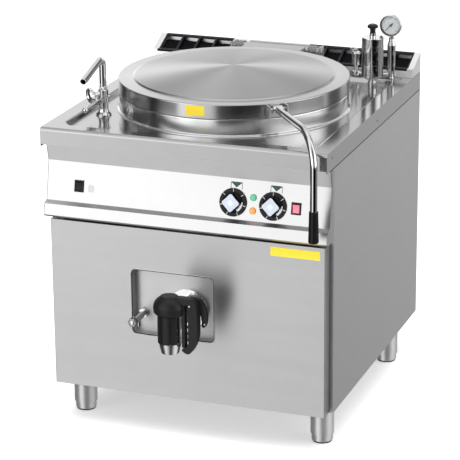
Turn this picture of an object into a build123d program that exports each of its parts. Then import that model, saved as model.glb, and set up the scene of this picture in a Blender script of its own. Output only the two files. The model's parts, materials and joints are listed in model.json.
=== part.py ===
from build123d import *
import os
from math import cos, radians, sin, sqrt

os.makedirs("parts", exist_ok=True)

# A free-standing boiling kettle: a round pan in a heated double jacket, inside a square cabinet.
# Millimetres. +Z is up, the operator stands on the -Y side, and Z = 0 is the floor.
# The origin is the middle of the footprint, the drain valve in front included.

# ---------------------------------------------------------------- driving dimensions
VESSEL_R = 300.0          # bore of the pan
SIDE_MARGIN = 100.0       # pan bore to the cabinet's side
FRONT_MARGIN = 110.0      # pan bore to the worktop's front edge
REAR_MARGIN = 190.0       # pan bore to the wall spacer at the back
WORKTOP_Z = 850.0         # working height
BODY_Z = 113.0            # underside of the cabinet
PAN_DEPTH = 543.0         # rim to the pan's bottom

SHEET = 2.0               # worktop, console, door and upstand
SKIN = 1.5                # side panels and lid
FIT = 0.2                 # a fixed piece in its hole
RUN = 0.05                # a turning or sliding piece in its bore, on the radius
STAND_OFF = 0.3           # between faces that pass each other

# worktop
BORDER = 45.0             # raised border round the sunken top
SINK = 12.0               # how far the top is sunk
SINK_SLOPE = 10.0         # run of the slope between the two levels
SINK_CORNER_R = 30.0
SKIRT_H = 52.0            # side skirts
FRONT_LIP_H = 46.0        # folded lip at the front
NOSE_R = 9.0
REAR_SHELF = 80.0         # raised shelf in front of the upstand, from the upstand's front

# cabinet
PANEL_SETBACK = 61.0      # side panels' front edge behind the worktop's front
PANEL_FLANGE = 18.0
DOOR_SETBACK = 23.0
DOOR_SIDE_GAP = 11.0      # door edge to the cabinet's side
WALL_SPACER = 20.0        # rear flange of the flue grilles behind the cabinet
PAN_RIM_H = 32.0          # turned-up rim of the base pan
POST = 30.0
POST_WALL = 2.0

# console, as distances behind the worktop's front and below its top
CONSOLE_TOP_D = 35.0
CONSOLE_BAND_H = 50.0     # upright band under the lip
CONSOLE_BEND_D = 47.0     # deepest line of the hollow front
CONSOLE_BEND_H = 102.0
CONSOLE_PANEL_D = 26.0    # lower edge of the switch panel
CONSOLE_PANEL_H = 208.0
CONSOLE_LEDGE_D = 9.0
CONSOLE_LEDGE_H = 214.0
CONSOLE_LIP_D = 4.0
CONSOLE_LIP_H = 244.0
CONSOLE_BOTTOM_H = 250.0
CONSOLE_CHIN = 6.0        # slanted return under the lip
CONSOLE_GAP = 11.0        # console to door

# controls, measured from the right-hand side of the cabinet
CONTROL_H = 164.5         # row of controls below the worktop's top
RIGHT_KNOB_IN = 157.5
KNOB_PITCH = 110.0
LAMP_SPREAD = 17.5
RIGHT_SWITCH_IN = 94.0
KNOB_SKIRT_R = 37.5
KNOB_SKIRT_T = 4.0
KNOB_BODY_W = 40.0
KNOB_BODY_R = 9.0
KNOB_H = 24.0
KNOB_SPINDLE_R = 5.0
LAMP_R = 9.5
LAMP_BARREL_R = 7.5
LAMP_PROUD = 5.0
SWITCH_W = 26.0
SWITCH_H = 32.0
SWITCH_RIM = 3.5
SWITCH_PROUD = 3.0
SWITCH_DEPTH = 22.0
ROCKER_TILT = 7.0
ROCKER_T = 11.0

# pan, jacket and lid
PAN_WALL = 2.0
COLLAR_H = 47.0           # collar above the sunken worktop
COLLAR_W = 14.0
COLLAR_FOOT = 5.0
BOTTOM_CROWN = 6.0        # the pan's bottom rises to its middle, so it drains to the edge
BOTTOM_CORNER = 14.0
JACKET_GAP = 26.0
JACKET_FLOOR_GAP = 57.0
JACKET_TOP_H = 80.0       # worktop to the jacket's top
LAGGING_T = 17.0
GASKET_T = 2.0
GASKET_W = 11.0
LID_OVERHANG = 16.4       # lid edge outside the pan wall
LID_SKIRT_H = 38.4
LID_STEP_IN = 41.0        # rim width outside the raised disc
LID_STEP_H = 4.0
LID_CROWN = 27.0          # crown above the lid's rim
LID_EDGE = 3.0

# heaters
HEATER_R = 4.0
HEATER_PITCH = 12.0
HEATER_LIFT = 8.0         # half the distance between a hairpin's legs
HEATER_INSET = 70.0       # hairpin bends to the jacket's front wall
HEATER_BOSS_R = 24.0
HEATER_BOSS_OUT = 16.0
HEATER_FLANGE_R = 38.0
HEATER_FLANGE_T = 8.0

# lid hinge
HINGE_BACK = 44.0         # hinge line behind the lid's edge
HINGE_DROP = 12.5         # hinge line below the lid's rim
HINGE_SPAN = 256.0        # length of the hinge tube
HINGE_TUBE_R = 12.2
HINGE_PIN_R = 8.0
HINGE_PIN_OUT = 8.0
HINGE_LEAF_W = 176.0
HINGE_LEAF_T = 4.0
HINGE_CHEEK_T = 7.0
HINGE_CHEEK_W = 32.0
HINGE_BASE_T = 3.0
SPRING_WIRE_R = 1.7
SPRING_PITCH = 4.2
SPRING_TURNS = 7

# lid handle
HANDLE_ANGLE = -50.0      # from +X, seen from above
HANDLE_OUT = 268.6        # hanging rod outside the lid's edge
HANDLE_ROD_R = 9.5
HANDLE_START_H = 25.0     # cross pin above the lid's lower edge
HANDLE_DROP = 6.0         # fall of the arm to its bend
HANDLE_BEND_R = 88.0
HANDLE_LOW_Z = 227.0      # grip's lower end below the worktop
GRIP_L = 86.0
GRIP_TOP_R = 12.0
GRIP_LOW_R = 14.0
LUG_SPREAD = 50.0
LUG_T = 4.0
LUG_OUT = 25.0
LUG_H = 34.0
LUG_PIN_R = 5.0

# upstand and flue grilles at the back
UPSTAND_D = 85.0
UPSTAND_FRONT_H = 26.0
UPSTAND_BACK_H = 55.0
UPSTAND_SLOPE_D = 17.0    # start of the slope behind the upstand's front
UPSTAND_END_W = 17.0
GRILLE_T = 6.0
GRILLE_PITCH = 52.5
GRILLE_BAR = 5.0
GRILLE_FRAME = 3.0
GRILLE_GAP = 1.0
LEFT_CELLS = 4
RIGHT_CELLS = 6
SPACER_T = 3.0
SPACER_H = 26.0

# feet
FOOT_IN_X = 51.3
FOOT_FRONT_D = 131.0
FOOT_REAR_D = 133.0       # from the cabinet's back
FOOT_R = 29.3
SLEEVE_R = 32.5
SLEEVE_LOW_Z = 24.0
FOOT_PAD_R = 26.0
FOOT_PAD_T = 4.0

# drain valve in its recess
DRAIN_OUT = 95.0          # valve's upright axis in front of the worktop's front
DRAIN_ABOVE = 28.0        # drain line above the pan's bottom
DRAIN_PIPE_R = 26.0
DRAIN_BORE_R = 21.0
RECESS_D = 27.0
RECESS_LEFT = 157.0
RECESS_RIGHT = 80.0
RECESS_LOW = 83.0         # recess below the drain line
RECESS_HIGH = 102.0
RECESS_R = 14.0
DRAIN_FLANGE_R = 55.0
DRAIN_FLANGE_T = 10.0
VALVE_R = 28.0
VALVE_TOP = 34.0          # above the drain line
VALVE_LOW = 43.0
PLUG_R = 22.0
PLUG_LOW = 26.0
SPOUT_TOP_R = 31.0
SPOUT_LOW_R = 24.0
SPOUT_H = 30.0
SPOUT_WALL = 3.0
GUARD_T = 4.0
GUARD_RIBS = 8
CAP_R = 39.0
CAP_SIDE_H = 22.0
CAP_H = 50.0
CAP_DISC_R = 19.0
ARM_W = 23.0
ARM_T = 14.0
LEVER_OUT = 66.0          # lever's middle from the valve's axis
LEVER_W = 26.0
LEVER_L = 145.0
LEVER_WAVES = 4
TRIGGER_W = 9.0
TRIGGER_GAP = 5.0

# level tap
LEVEL_LEFT = 131.0
LEVEL_BELOW = 28.0
LEVEL_R = 8.0
LEVEL_NUT_R = 14.0
LEVEL_OUT = 96.0
LEVEL_KNOB_R = 14.0
LEVEL_KNOB_T = 13.0
LEVEL_LOBES = 6

# water tap, from the worktop's front left corner
TAP_IN_X = 96.0
TAP_IN_D = 207.0
TAP_BASE_R = 21.0
TAP_BODY_R = 14.0
TAP_BODY_TOP = 60.0       # above the worktop's top
TAP_TUBE_R = 9.5
TAP_TUBE_BORE = 7.5
TAP_TOP = 145.0           # crown of the spout above the worktop's top
TAP_REACH = 131.0
TAP_FALL = 32.0
TAP_TURN_R = 18.0
TAP_NUT_R = 12.5
TAP_NUT_H = 8.0
TAP_LEVER_H = 33.0
TAP_LEVER_L = 122.0
TAP_LEVER_R = 6.0
TAP_LEVER_RING_R = 17.0
TAP_LEVER_RING_H = 15.0
TAP_WHEEL_R = 22.0
TAP_WHEEL_T = 13.0
TAP_WHEEL_OUT = 37.0
TAP_WHEEL_H = 51.0
TAP_WHEEL_ANGLE = 225.0
TAP_WHEEL_TILT = 8.0
TAP_WHEEL_BOSS_R = 7.0
TAP_WHEEL_HUB = 6.0       # hub between the boss and the wheel

# safety group, from the cabinet's rear right corner
SAFETY_IN_X = 93.0
SAFETY_IN_D = 173.0
SAFETY_R = 31.0
SAFETY_LOW = 13.0         # valve case above the worktop's top
SAFETY_HIGH = 135.0
SAFETY_CHAMFER = 14.0
SAFETY_NUT_R = 13.0
SAFETY_COLLAR_R = 9.0
SAFETY_KNOB_R = 15.5
SAFETY_KNOB_H = 37.0
SAFETY_STEM_R = 4.0
GROUP_IN_D = 99.0         # row of the gauge and the vent in front of the cabinet's back
GAUGE_IN_X = 59.0
GAUGE_H = 156.0           # dial's middle above the worktop's top
GAUGE_R = 31.5
GAUGE_T = 15.0
GAUGE_FORWARD = 18.0      # dial in front of its riser
GAUGE_RISER_R = 12.0
GAUGE_STEM_R = 4.5
GAUGE_WALL = 2.5
GAUGE_FOOT_R = 9.0
VENT_IN_X = 164.0
VENT_R = 13.0
VENT_H = 72.0
MANIFOLD_R = 5.0
MANIFOLD_H = 8.0

# water inlet at the back
INLET_R = 10.5
INLET_BORE_R = 7.5
INLET_IN_X = 90.0
INLET_H = 60.0            # above the cabinet's underside
INLET_THREAD = 15.0
INLET_RELIEF = 1.0        # groove behind the thread, in length and in depth
INLET_FLANGE_T = 3.0
INLET_FLANGE_R = 14.0

# ---------------------------------------------------------------- places worked out from them
HALF_W = VESSEL_R + SIDE_MARGIN
BODY_DEPTH = FRONT_MARGIN + 2 * VESSEL_R + REAR_MARGIN
FRONT = (DRAIN_OUT + CAP_R - BODY_DEPTH) / 2
BACK = FRONT + BODY_DEPTH
CABINET_BACK = BACK - WALL_SPACER
AXIS_Y = FRONT + FRONT_MARGIN + VESSEL_R
PANEL_FRONT = FRONT + PANEL_SETBACK
DOOR_FACE = FRONT + DOOR_SETBACK
SKIRT_Z = WORKTOP_Z - SKIRT_H
SUNK_Z = WORKTOP_Z - SINK
FLOOR_Z = BODY_Z + SKIN
CONSOLE_Z = WORKTOP_Z - CONSOLE_BOTTOM_H
DOOR_TOP = CONSOLE_Z - CONSOLE_GAP
DOOR_HALF = HALF_W - DOOR_SIDE_GAP

PAN_R = VESSEL_R + PAN_WALL
RIM_Z = SUNK_Z + COLLAR_H
PAN_FLOOR_Z = RIM_Z - PAN_DEPTH
JACKET_R = PAN_R + JACKET_GAP + PAN_WALL
JACKET_LOW = PAN_FLOOR_Z - JACKET_FLOOR_GAP
JACKET_TOP = WORKTOP_Z - JACKET_TOP_H
LAGGING_R = JACKET_R + FIT + LAGGING_T
LID_R = PAN_R + LID_OVERHANG
LID_LOW = RIM_Z + GASKET_T
LID_RIM = LID_LOW + LID_SKIRT_H

HINGE_Y = AXIS_Y + LID_R + HINGE_BACK
HINGE_Z = LID_RIM - HINGE_DROP
UPSTAND_Y = CABINET_BACK - UPSTAND_D
GRILLE_LEFT_X = -HALF_W + UPSTAND_END_W + GRILLE_GAP
GRILLE_RIGHT_X = -GRILLE_LEFT_X

DRAIN_Z = PAN_FLOOR_Z + DRAIN_ABOVE
DRAIN_Y = FRONT - DRAIN_OUT
RECESS_Y = DOOR_FACE + RECESS_D
LEVEL_Z = DRAIN_Z - LEVEL_BELOW

TAP_X = TAP_IN_X - HALF_W
TAP_Y = FRONT + TAP_IN_D
SAFETY_X = HALF_W - SAFETY_IN_X
SAFETY_Y = CABINET_BACK - SAFETY_IN_D
GROUP_Y = CABINET_BACK - GROUP_IN_D
GAUGE_X = HALF_W - GAUGE_IN_X
VENT_X = HALF_W - VENT_IN_X
FOOT_X = HALF_W - FOOT_IN_X
FOOT_YS = (FRONT + FOOT_FRONT_D, CABINET_BACK - FOOT_REAR_D)


# ---------------------------------------------------------------- small makers
def block(x, y, z):
    """A box between two limits on each axis."""
    size = [b - a for a, b in (x, y, z)]
    middle = [(a + b) / 2 for a, b in (x, y, z)]
    return Pos(*middle) * Box(*size)


def rod(radius, start, end):
    """A round bar from one point to another."""
    run = Vector(*end) - Vector(*start)
    base = (Align.CENTER, Align.CENTER, Align.MIN)
    return Plane(origin=start, z_dir=run) * Cylinder(radius, run.length, align=base)


def tube(radius, bore, start, end):
    return rod(radius, start, end) - rod(bore, start, end)


def turned(profile, place=Plane.XY):
    """A closed outline of (radius, height) points, spun about the place's own axis."""
    return place * revolve(Plane.XZ * make_face(Polyline(*profile, close=True)), Axis.Z)


def upright(x, y):
    return Plane(origin=(x, y, 0))


def slab(outline, x0, x1):
    """An outline of (Y, Z) points, drawn out from x0 to x1."""
    face = make_face(Polyline(*outline, close=True))
    return extrude(Plane.YZ.offset(x0) * face, amount=x1 - x0)


def bent_bar(points, bend_r, radius, bore=0.0):
    """A round bar or tube along straight runs joined by bends of one radius."""
    path = FilletPolyline(*points, radius=bend_r)
    section = Circle(radius) - Circle(bore) if bore else Circle(radius)
    return sweep(Plane(origin=path @ 0, z_dir=path % 0) * section, path=path)


def mirrored(shape):
    return shape + mirror(shape, about=Plane.YZ)


# ---------------------------------------------------------------- cabinet
def base_pan():
    x = HALF_W - SKIN - STAND_OFF
    y0 = PANEL_FRONT + SKIN + STAND_OFF
    y1 = CABINET_BACK - SKIN - STAND_OFF
    top = FLOOR_Z + PAN_RIM_H
    tray = block((-x, x), (y0, y1), (FLOOR_Z, top))
    return tray - block((-x + SHEET, x - SHEET), (y0 + SHEET, y1 - SHEET), (FLOOR_Z + SHEET, top))


def corner_posts():
    posts = Part()
    x1 = HALF_W - SKIN - STAND_OFF - SHEET
    y_front = PANEL_FRONT + SKIN + STAND_OFF + SHEET
    y_rear = CABINET_BACK - SKIN - STAND_OFF - SHEET - POST
    for y0 in (y_front, y_rear):
        low = FLOOR_Z + SHEET
        top = WORKTOP_Z - SHEET
        post = block((x1 - POST, x1), (y0, y0 + POST), (low, top))
        hollow = (x1 - POST + POST_WALL, x1 - POST_WALL), (y0 + POST_WALL, y0 + POST - POST_WALL)
        posts += mirrored(post - block(*hollow, (low, top)))
    return posts


def right_side_panel():
    """A sheet with folded front, rear and lower flanges, open at its top."""
    tray = block((HALF_W - PANEL_FLANGE, HALF_W), (PANEL_FRONT, CABINET_BACK), (BODY_Z, SKIRT_Z))
    inside = block((HALF_W - PANEL_FLANGE, HALF_W - SKIN),
                   (PANEL_FRONT + SKIN, CABINET_BACK - SKIN), (BODY_Z + SKIN, SKIRT_Z))
    return tray - inside


def left_side_panel():
    return mirror(right_side_panel(), about=Plane.YZ)


def back_panel():
    x = HALF_W - PANEL_FLANGE - STAND_OFF
    panel = block((-x, x), (CABINET_BACK - SKIN, CABINET_BACK), (BODY_Z, WORKTOP_Z - SKIRT_H))
    return panel - rod(INLET_R - INLET_RELIEF + FIT, inlet_point(-2 * SKIN), inlet_point(SKIN))


def inlet_point(out):
    """A point on the inlet's axis, at a distance outside the back panel."""
    return INLET_IN_X - HALF_W, CABINET_BACK + out, BODY_Z + INLET_H


def water_inlet():
    """A stub through the back panel: thread, relief groove and flange outside, a nut inside."""
    thread = INLET_FLANGE_T + INLET_RELIEF
    end = thread + INLET_THREAD
    stub = rod(INLET_R - INLET_RELIEF, inlet_point(-40), inlet_point(thread))
    stub += rod(INLET_FLANGE_R, inlet_point(0), inlet_point(INLET_FLANGE_T))
    stub += rod(INLET_R, inlet_point(thread), inlet_point(end))
    nut = Plane(origin=inlet_point(-SKIN), z_dir=(0, -1, 0))
    stub += extrude(nut * RegularPolygon(INLET_FLANGE_R + 1, 6), amount=8)
    return stub - rod(INLET_BORE_R, inlet_point(-41), inlet_point(end + 1))


def recess_face(grow):
    """The recess opening, looked at from the front, grown by a wall."""
    width = RECESS_LEFT + RECESS_RIGHT + 2 * grow
    height = RECESS_LOW + RECESS_HIGH + 2 * grow
    return RectangleRounded(width, height, RECESS_R + grow)


def recess_plane(y):
    x = (RECESS_RIGHT - RECESS_LEFT) / 2
    z = DRAIN_Z + (RECESS_HIGH - RECESS_LOW) / 2
    return Plane(origin=(x, y, z), x_dir=(-1, 0, 0), z_dir=(0, 1, 0))


def front_panel():
    """The door: a folded sheet with the drain opening cut in it."""
    door = block((-DOOR_HALF, DOOR_HALF), (DOOR_FACE, PANEL_FRONT), (BODY_Z, DOOR_TOP))
    door -= block((-DOOR_HALF + SHEET, DOOR_HALF - SHEET), (DOOR_FACE + SHEET, PANEL_FRONT),
                  (BODY_Z + SHEET, DOOR_TOP - SHEET))
    edges = door.edges().filter_by(Axis.Z).group_by(Axis.Y)[0]
    door = fillet(edges, SHEET)
    return door - extrude(recess_plane(DOOR_FACE) * recess_face(0), amount=SHEET)


def drain_recess_box():
    """The pressed box behind the door opening, with holes for the drain and the level tap."""
    back = RECESS_Y + SHEET
    box = extrude(recess_plane(DOOR_FACE + SHEET) * recess_face(SHEET), amount=back - DOOR_FACE - SHEET)
    box -= extrude(recess_plane(DOOR_FACE + SHEET) * recess_face(0), amount=RECESS_Y - DOOR_FACE - SHEET)
    box -= rod(DRAIN_PIPE_R + FIT, (0, DOOR_FACE, DRAIN_Z), (0, back + SHEET, DRAIN_Z))
    return box - rod(LEVEL_R + FIT, (-LEVEL_LEFT, DOOR_FACE, LEVEL_Z), (-LEVEL_LEFT, back + SHEET, LEVEL_Z))


# ---------------------------------------------------------------- feet
def foot_places():
    return [(side * FOOT_X, y) for y in FOOT_YS for side in (-1, 1)]


def foot_sleeves():
    sleeves = Part()
    for x, y in foot_places():
        sleeves += tube(SLEEVE_R, FOOT_R + RUN, (x, y, SLEEVE_LOW_Z), (x, y, FLOOR_Z))
    return sleeves


def foot(x, y):
    """A foot that screws down out of its sleeve, on a pad."""
    top = FLOOR_Z - STAND_OFF
    profile = [(0, 0), (FOOT_PAD_R, 0), (FOOT_PAD_R, FOOT_PAD_T), (FOOT_R - 2, FOOT_PAD_T),
               (FOOT_R, FOOT_PAD_T + 2), (FOOT_R, top), (0, top)]
    return turned(profile, upright(x, y))


# ---------------------------------------------------------------- worktop
def sunk_area(grow, depth):
    """The sunken top as a tapered block, its plan grown by a wall."""
    y0 = FRONT + BORDER
    y1 = UPSTAND_Y - REAR_SHELF + BORDER
    width = 2 * (HALF_W - BORDER + grow)
    length = y1 - y0 + 2 * grow
    middle = (y0 + y1) / 2
    top = Plane(origin=(0, middle, WORKTOP_Z)) * RectangleRounded(width, length, SINK_CORNER_R + grow)
    slope = SINK_SLOPE * depth / SINK
    low_r = SINK_CORNER_R + grow - slope
    floor = RectangleRounded(width - 2 * slope, length - 2 * slope, low_r)
    return loft([Plane(origin=(0, middle, WORKTOP_Z - depth)) * floor, top], ruled=True)


def worktop():
    top = block((-HALF_W, HALF_W), (FRONT, CABINET_BACK), (SKIRT_Z, WORKTOP_Z))
    top = fillet(top.edges().filter_by(Axis.X).group_by(Axis.Z)[-1].sort_by(Axis.Y)[0], NOSE_R)
    under = block((-HALF_W + SHEET, HALF_W - SHEET), (FRONT + SHEET, CABINET_BACK - SHEET),
                  (SKIRT_Z, WORKTOP_Z - SHEET))
    under = fillet(under.edges().filter_by(Axis.X).group_by(Axis.Z)[-1].sort_by(Axis.Y)[0], NOSE_R - SHEET)
    top -= under - sunk_area(SHEET, SINK + SHEET)
    top -= sunk_area(0, SINK)
    inside = HALF_W - SHEET
    top -= block((-inside, inside), (FRONT, FRONT + SHEET), (SKIRT_Z, WORKTOP_Z - FRONT_LIP_H))
    top -= rod(PAN_R + FIT, (0, AXIS_Y, SKIRT_Z), (0, AXIS_Y, WORKTOP_Z))
    for x, y, radius in worktop_bores():
        top -= rod(radius + FIT, (x, y, SKIRT_Z), (x, y, WORKTOP_Z))
    return top


def shank_r(radius):
    """The threaded shank under a fitting is smaller than the fitting."""
    return 0.6 * radius


def worktop_bores():
    return [(TAP_X, TAP_Y, shank_r(TAP_BODY_R)), (SAFETY_X, SAFETY_Y, shank_r(SAFETY_NUT_R))]


def rear_upstand():
    """A trough along the back of the worktop that carries the flue grilles."""
    y0, y1 = UPSTAND_Y, CABINET_BACK
    low, front_z, back_z = WORKTOP_Z, WORKTOP_Z + UPSTAND_FRONT_H, WORKTOP_Z + UPSTAND_BACK_H
    end_profile = [(y0, low), (y0, front_z), (y0 + UPSTAND_SLOPE_D, front_z),
                   (y1 - SHEET, back_z), (y1, back_z), (y1, low)]
    trough = block((-HALF_W, HALF_W), (y0, y1), (low, low + SHEET))
    trough += block((-HALF_W, HALF_W), (y0, y0 + SHEET), (low, front_z - GRILLE_T))
    trough += block((-HALF_W, HALF_W), (y1 - SHEET, y1), (low, back_z - GRILLE_T))
    trough += mirrored(slab(end_profile, HALF_W - UPSTAND_END_W, HALF_W))
    middle = (grille_limits(LEFT_CELLS, "left")[1] + GRILLE_GAP,
              grille_limits(RIGHT_CELLS, "right")[0] - GRILLE_GAP)
    cover = slab(end_profile, *middle)
    hollow = [(y + SHEET * push, z - SHEET * (z > low)) for (y, z), push in zip(end_profile, (1, 1, 1, -1, -1, -1))]
    cover -= slab(hollow, middle[0] + SHEET, middle[1] - SHEET)
    return trough + cover


def grille_limits(cells, side):
    width = cells * GRILLE_PITCH + 2 * GRILLE_FRAME - GRILLE_BAR
    if side == "left":
        return GRILLE_LEFT_X, GRILLE_LEFT_X + width
    return GRILLE_RIGHT_X - width, GRILLE_RIGHT_X


def flue_grille(cells, side):
    """A slanting moulded grille with a rear flange that keeps the wall off."""
    x0, x1 = grille_limits(cells, side)
    y0, y1 = UPSTAND_Y, CABINET_BACK
    z0, z1 = WORKTOP_Z + UPSTAND_FRONT_H, WORKTOP_Z + UPSTAND_BACK_H
    bend = y0 + UPSTAND_SLOPE_D
    low = z1 - GRILLE_T
    outline = [(y0, z0 - GRILLE_T), (y0, z0), (bend, z0), (y1, z1), (y1 + SPACER_T, z1 - SPACER_T),
               (y1 + SPACER_T, low), (BACK, low), (BACK, low - SPACER_H), (BACK - SPACER_T, low - SPACER_H),
               (BACK - SPACER_T, low - SPACER_T), (y1 + FIT, low - SPACER_T), (y1 + FIT, low),
               (y1 - SHEET, low), (bend, z0 - GRILLE_T)]
    grille = slab(outline, x0, x1)
    for cell in range(cells):
        left = x0 + GRILLE_FRAME + cell * GRILLE_PITCH
        cut = (left, left + GRILLE_PITCH - GRILLE_BAR), (bend, y1 - SHEET - GRILLE_BAR)
        grille -= block(*cut, (z0 - 2 * GRILLE_T, z1 + GRILLE_T))
    return grille


# ---------------------------------------------------------------- console and its controls
def console_outline():
    def point(setback, drop):
        return FRONT + setback, WORKTOP_Z - drop
    return [point(CONSOLE_TOP_D, SHEET), point(CONSOLE_TOP_D, CONSOLE_BAND_H),
            point(CONSOLE_BEND_D, CONSOLE_BEND_H), point(CONSOLE_PANEL_D, CONSOLE_PANEL_H),
            point(CONSOLE_LEDGE_D, CONSOLE_LEDGE_H), point(CONSOLE_LIP_D, CONSOLE_LIP_H),
            point(CONSOLE_LIP_D + CONSOLE_CHIN, CONSOLE_BOTTOM_H),
            point(PANEL_SETBACK, CONSOLE_BOTTOM_H), point(PANEL_SETBACK, SHEET)]


def control_console():
    half = HALF_W - SHEET
    outline = make_face(Polyline(*console_outline(), close=True))
    inside = offset(outline, -SHEET, kind=Kind.INTERSECTION)
    shell = extrude(Plane.YZ.offset(-half) * (outline - inside), amount=2 * half)
    back = FRONT + PANEL_SETBACK
    shell -= block((-half, half), (FRONT + CONSOLE_TOP_D + SHEET, back),
                   (WORKTOP_Z - 3 * SHEET, WORKTOP_Z))
    shell -= block((-half, half), (back - SHEET, back), (CONSOLE_Z + SHEET, WORKTOP_Z))
    for x, h, radius in control_bores():
        shell -= switch_panel(x, h) * Cylinder(radius, 6 * SHEET)
    for x in switch_places():
        shell -= switch_panel(x, 0) * Box(SWITCH_W - 2 * SHEET + FIT, SWITCH_H - 2 * SHEET + FIT, 6 * SHEET)
    return shell


def console_end_caps():
    cap = slab(console_outline(), HALF_W - SHEET, HALF_W)
    above = block((0, HALF_W + SHEET), (FRONT, PANEL_FRONT + SHEET), (SKIRT_Z, WORKTOP_Z))
    return mirrored(cap - above)


def switch_panel(x, h):
    """The plane of the sloping switch panel at x, h along the panel above the row of controls."""
    fall = CONSOLE_PANEL_H - CONSOLE_BEND_H
    rise = CONSOLE_BEND_D - CONSOLE_PANEL_D
    slope = sqrt(fall ** 2 + rise ** 2)
    normal = (0, -fall / slope, rise / slope)
    setback = CONSOLE_BEND_D - rise * (CONTROL_H - CONSOLE_BEND_H) / fall
    face = Plane(origin=(x, FRONT + setback, WORKTOP_Z - CONTROL_H), x_dir=(1, 0, 0), z_dir=normal)
    return face * Pos(0, h, 0)


def knob_places():
    right = HALF_W - RIGHT_KNOB_IN
    return right - KNOB_PITCH, right


def lamp_place():
    return sum(knob_places()) / 2


def switch_places():
    right = HALF_W - RIGHT_SWITCH_IN
    return -right, right


def control_bores():
    bores = [(x, 0, KNOB_SPINDLE_R + RUN) for x in knob_places()]
    return bores + [(lamp_place(), h, LAMP_BARREL_R + FIT) for h in (-LAMP_SPREAD, LAMP_SPREAD)]


def control_knob(x):
    """A round skirt, a four-sided grip with rounded corners set on its corner, and a spindle."""
    skirt = Pos(0, 0, STAND_OFF + KNOB_SKIRT_T / 2) * Cylinder(KNOB_SKIRT_R, KNOB_SKIRT_T)
    body = extrude(Rot(0, 0, 45) * RectangleRounded(KNOB_BODY_W, KNOB_BODY_W, KNOB_BODY_R), amount=KNOB_H)
    body = fillet(body.edges().group_by(Axis.Z)[-1], 1.5)
    spindle = rod(KNOB_SPINDLE_R, (0, 0, -18), (0, 0, KNOB_H / 2))
    return switch_panel(x, 0) * (skirt + Pos(0, 0, STAND_OFF) * body + spindle)


def indicator_lamps():
    lamps = Part()
    dome = [(0, -16), (LAMP_BARREL_R, -16), (LAMP_BARREL_R, 0), (LAMP_R, 0), (LAMP_R, 1.5),
            (LAMP_R * 0.85, LAMP_PROUD * 0.75), (LAMP_R * 0.5, LAMP_PROUD * 0.95), (0, LAMP_PROUD)]
    for h in (-LAMP_SPREAD, LAMP_SPREAD):
        lamps += switch_panel(lamp_place(), h) * turned(dome)
    return lamps


def switch_cases():
    """Two housings that clip into the panel, each open for its rocker."""
    cases = Part()
    for x in switch_places():
        rim = Pos(0, 0, SWITCH_PROUD / 2) * Box(SWITCH_W, SWITCH_H, SWITCH_PROUD)
        low = -SWITCH_DEPTH
        barrel = block((SHEET - SWITCH_W / 2, SWITCH_W / 2 - SHEET),
                       (SHEET - SWITCH_H / 2, SWITCH_H / 2 - SHEET), (low, 0))
        well = block((SWITCH_RIM - SWITCH_W / 2, SWITCH_W / 2 - SWITCH_RIM),
                     (SWITCH_RIM - SWITCH_H / 2, SWITCH_H / 2 - SWITCH_RIM),
                     (low + SHEET, SWITCH_PROUD))
        pivot = rod(1.5, (SWITCH_RIM - SWITCH_W / 2, 0, rocker_pivot()),
                    (SWITCH_W / 2 - SWITCH_RIM, 0, rocker_pivot()))
        cases += switch_panel(x, 0) * (rim + barrel - well + pivot)
    return cases


def rocker_pivot():
    return SWITCH_PROUD - ROCKER_T / 2


def rocker(x):
    """A rocker tipped to its off side, turning on the pin across its case."""
    w = SWITCH_W / 2 - SWITCH_RIM - STAND_OFF
    h = SWITCH_H / 2 - SWITCH_RIM - 1.5
    arms = [(-h, 2.0), (-h, 6.0), (0, 4.0), (h, 6.0), (h, 2.0), (3.2, -ROCKER_T / 2), (-3.2, -ROCKER_T / 2)]
    body = slab(arms, -w, w) - rod(1.5 + RUN, (-w, 0, 0), (w, 0, 0))
    return switch_panel(x, 0) * Pos(0, 0, rocker_pivot()) * Rot(ROCKER_TILT, 0, 0) * body


# ---------------------------------------------------------------- pan, jacket and heaters
def inner_vessel():
    """The pan: straight wall, shallow crowned bottom, drain hole at its front."""
    floor = PAN_FLOOR_Z
    corner = BOTTOM_CORNER
    wall = [(PAN_R, RIM_Z), (PAN_R, floor + corner), (PAN_R - corner * 0.3, floor + corner * 0.3),
            (PAN_R - corner, floor - PAN_WALL), (0, floor + BOTTOM_CROWN - PAN_WALL),
            (0, floor + BOTTOM_CROWN), (VESSEL_R - corner, floor),
            (VESSEL_R - corner * 0.3, floor + corner * 0.3), (VESSEL_R, floor + corner), (VESSEL_R, RIM_Z)]
    pan = turned(wall, upright(0, AXIS_Y))
    return pan - rod(DRAIN_BORE_R, (0, AXIS_Y - VESSEL_R / 2, DRAIN_Z), (0, AXIS_Y - PAN_R - 5, DRAIN_Z))


def vessel_collar():
    """The ring welded round the pan above the worktop, with a foot flange."""
    r0 = PAN_R
    r1 = PAN_R + COLLAR_W
    foot_r = r1 + COLLAR_FOOT
    low = SUNK_Z
    ring = [(r0, RIM_Z), (r1 - 2, RIM_Z), (r1, RIM_Z - 2), (r1, low + SHEET + 3), (foot_r, low + SHEET),
            (foot_r, low), (r1 - SHEET, low), (r1 - SHEET, RIM_Z - SHEET), (r0, RIM_Z - SHEET)]
    return turned(ring, upright(0, AXIS_Y))


def jacket_cuts(clear):
    """Ways through the jacket wall for the drain pipe and the level pipe."""
    drain = rod(DRAIN_PIPE_R + clear, (0, AXIS_Y - VESSEL_R / 2, DRAIN_Z), (0, RECESS_Y, DRAIN_Z))
    level = rod(LEVEL_R + clear, (-LEVEL_LEFT, AXIS_Y - VESSEL_R / 2, LEVEL_Z), (-LEVEL_LEFT, RECESS_Y, LEVEL_Z))
    return drain + level


def heater_z():
    return (JACKET_LOW + PAN_FLOOR_Z) / 2


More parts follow.
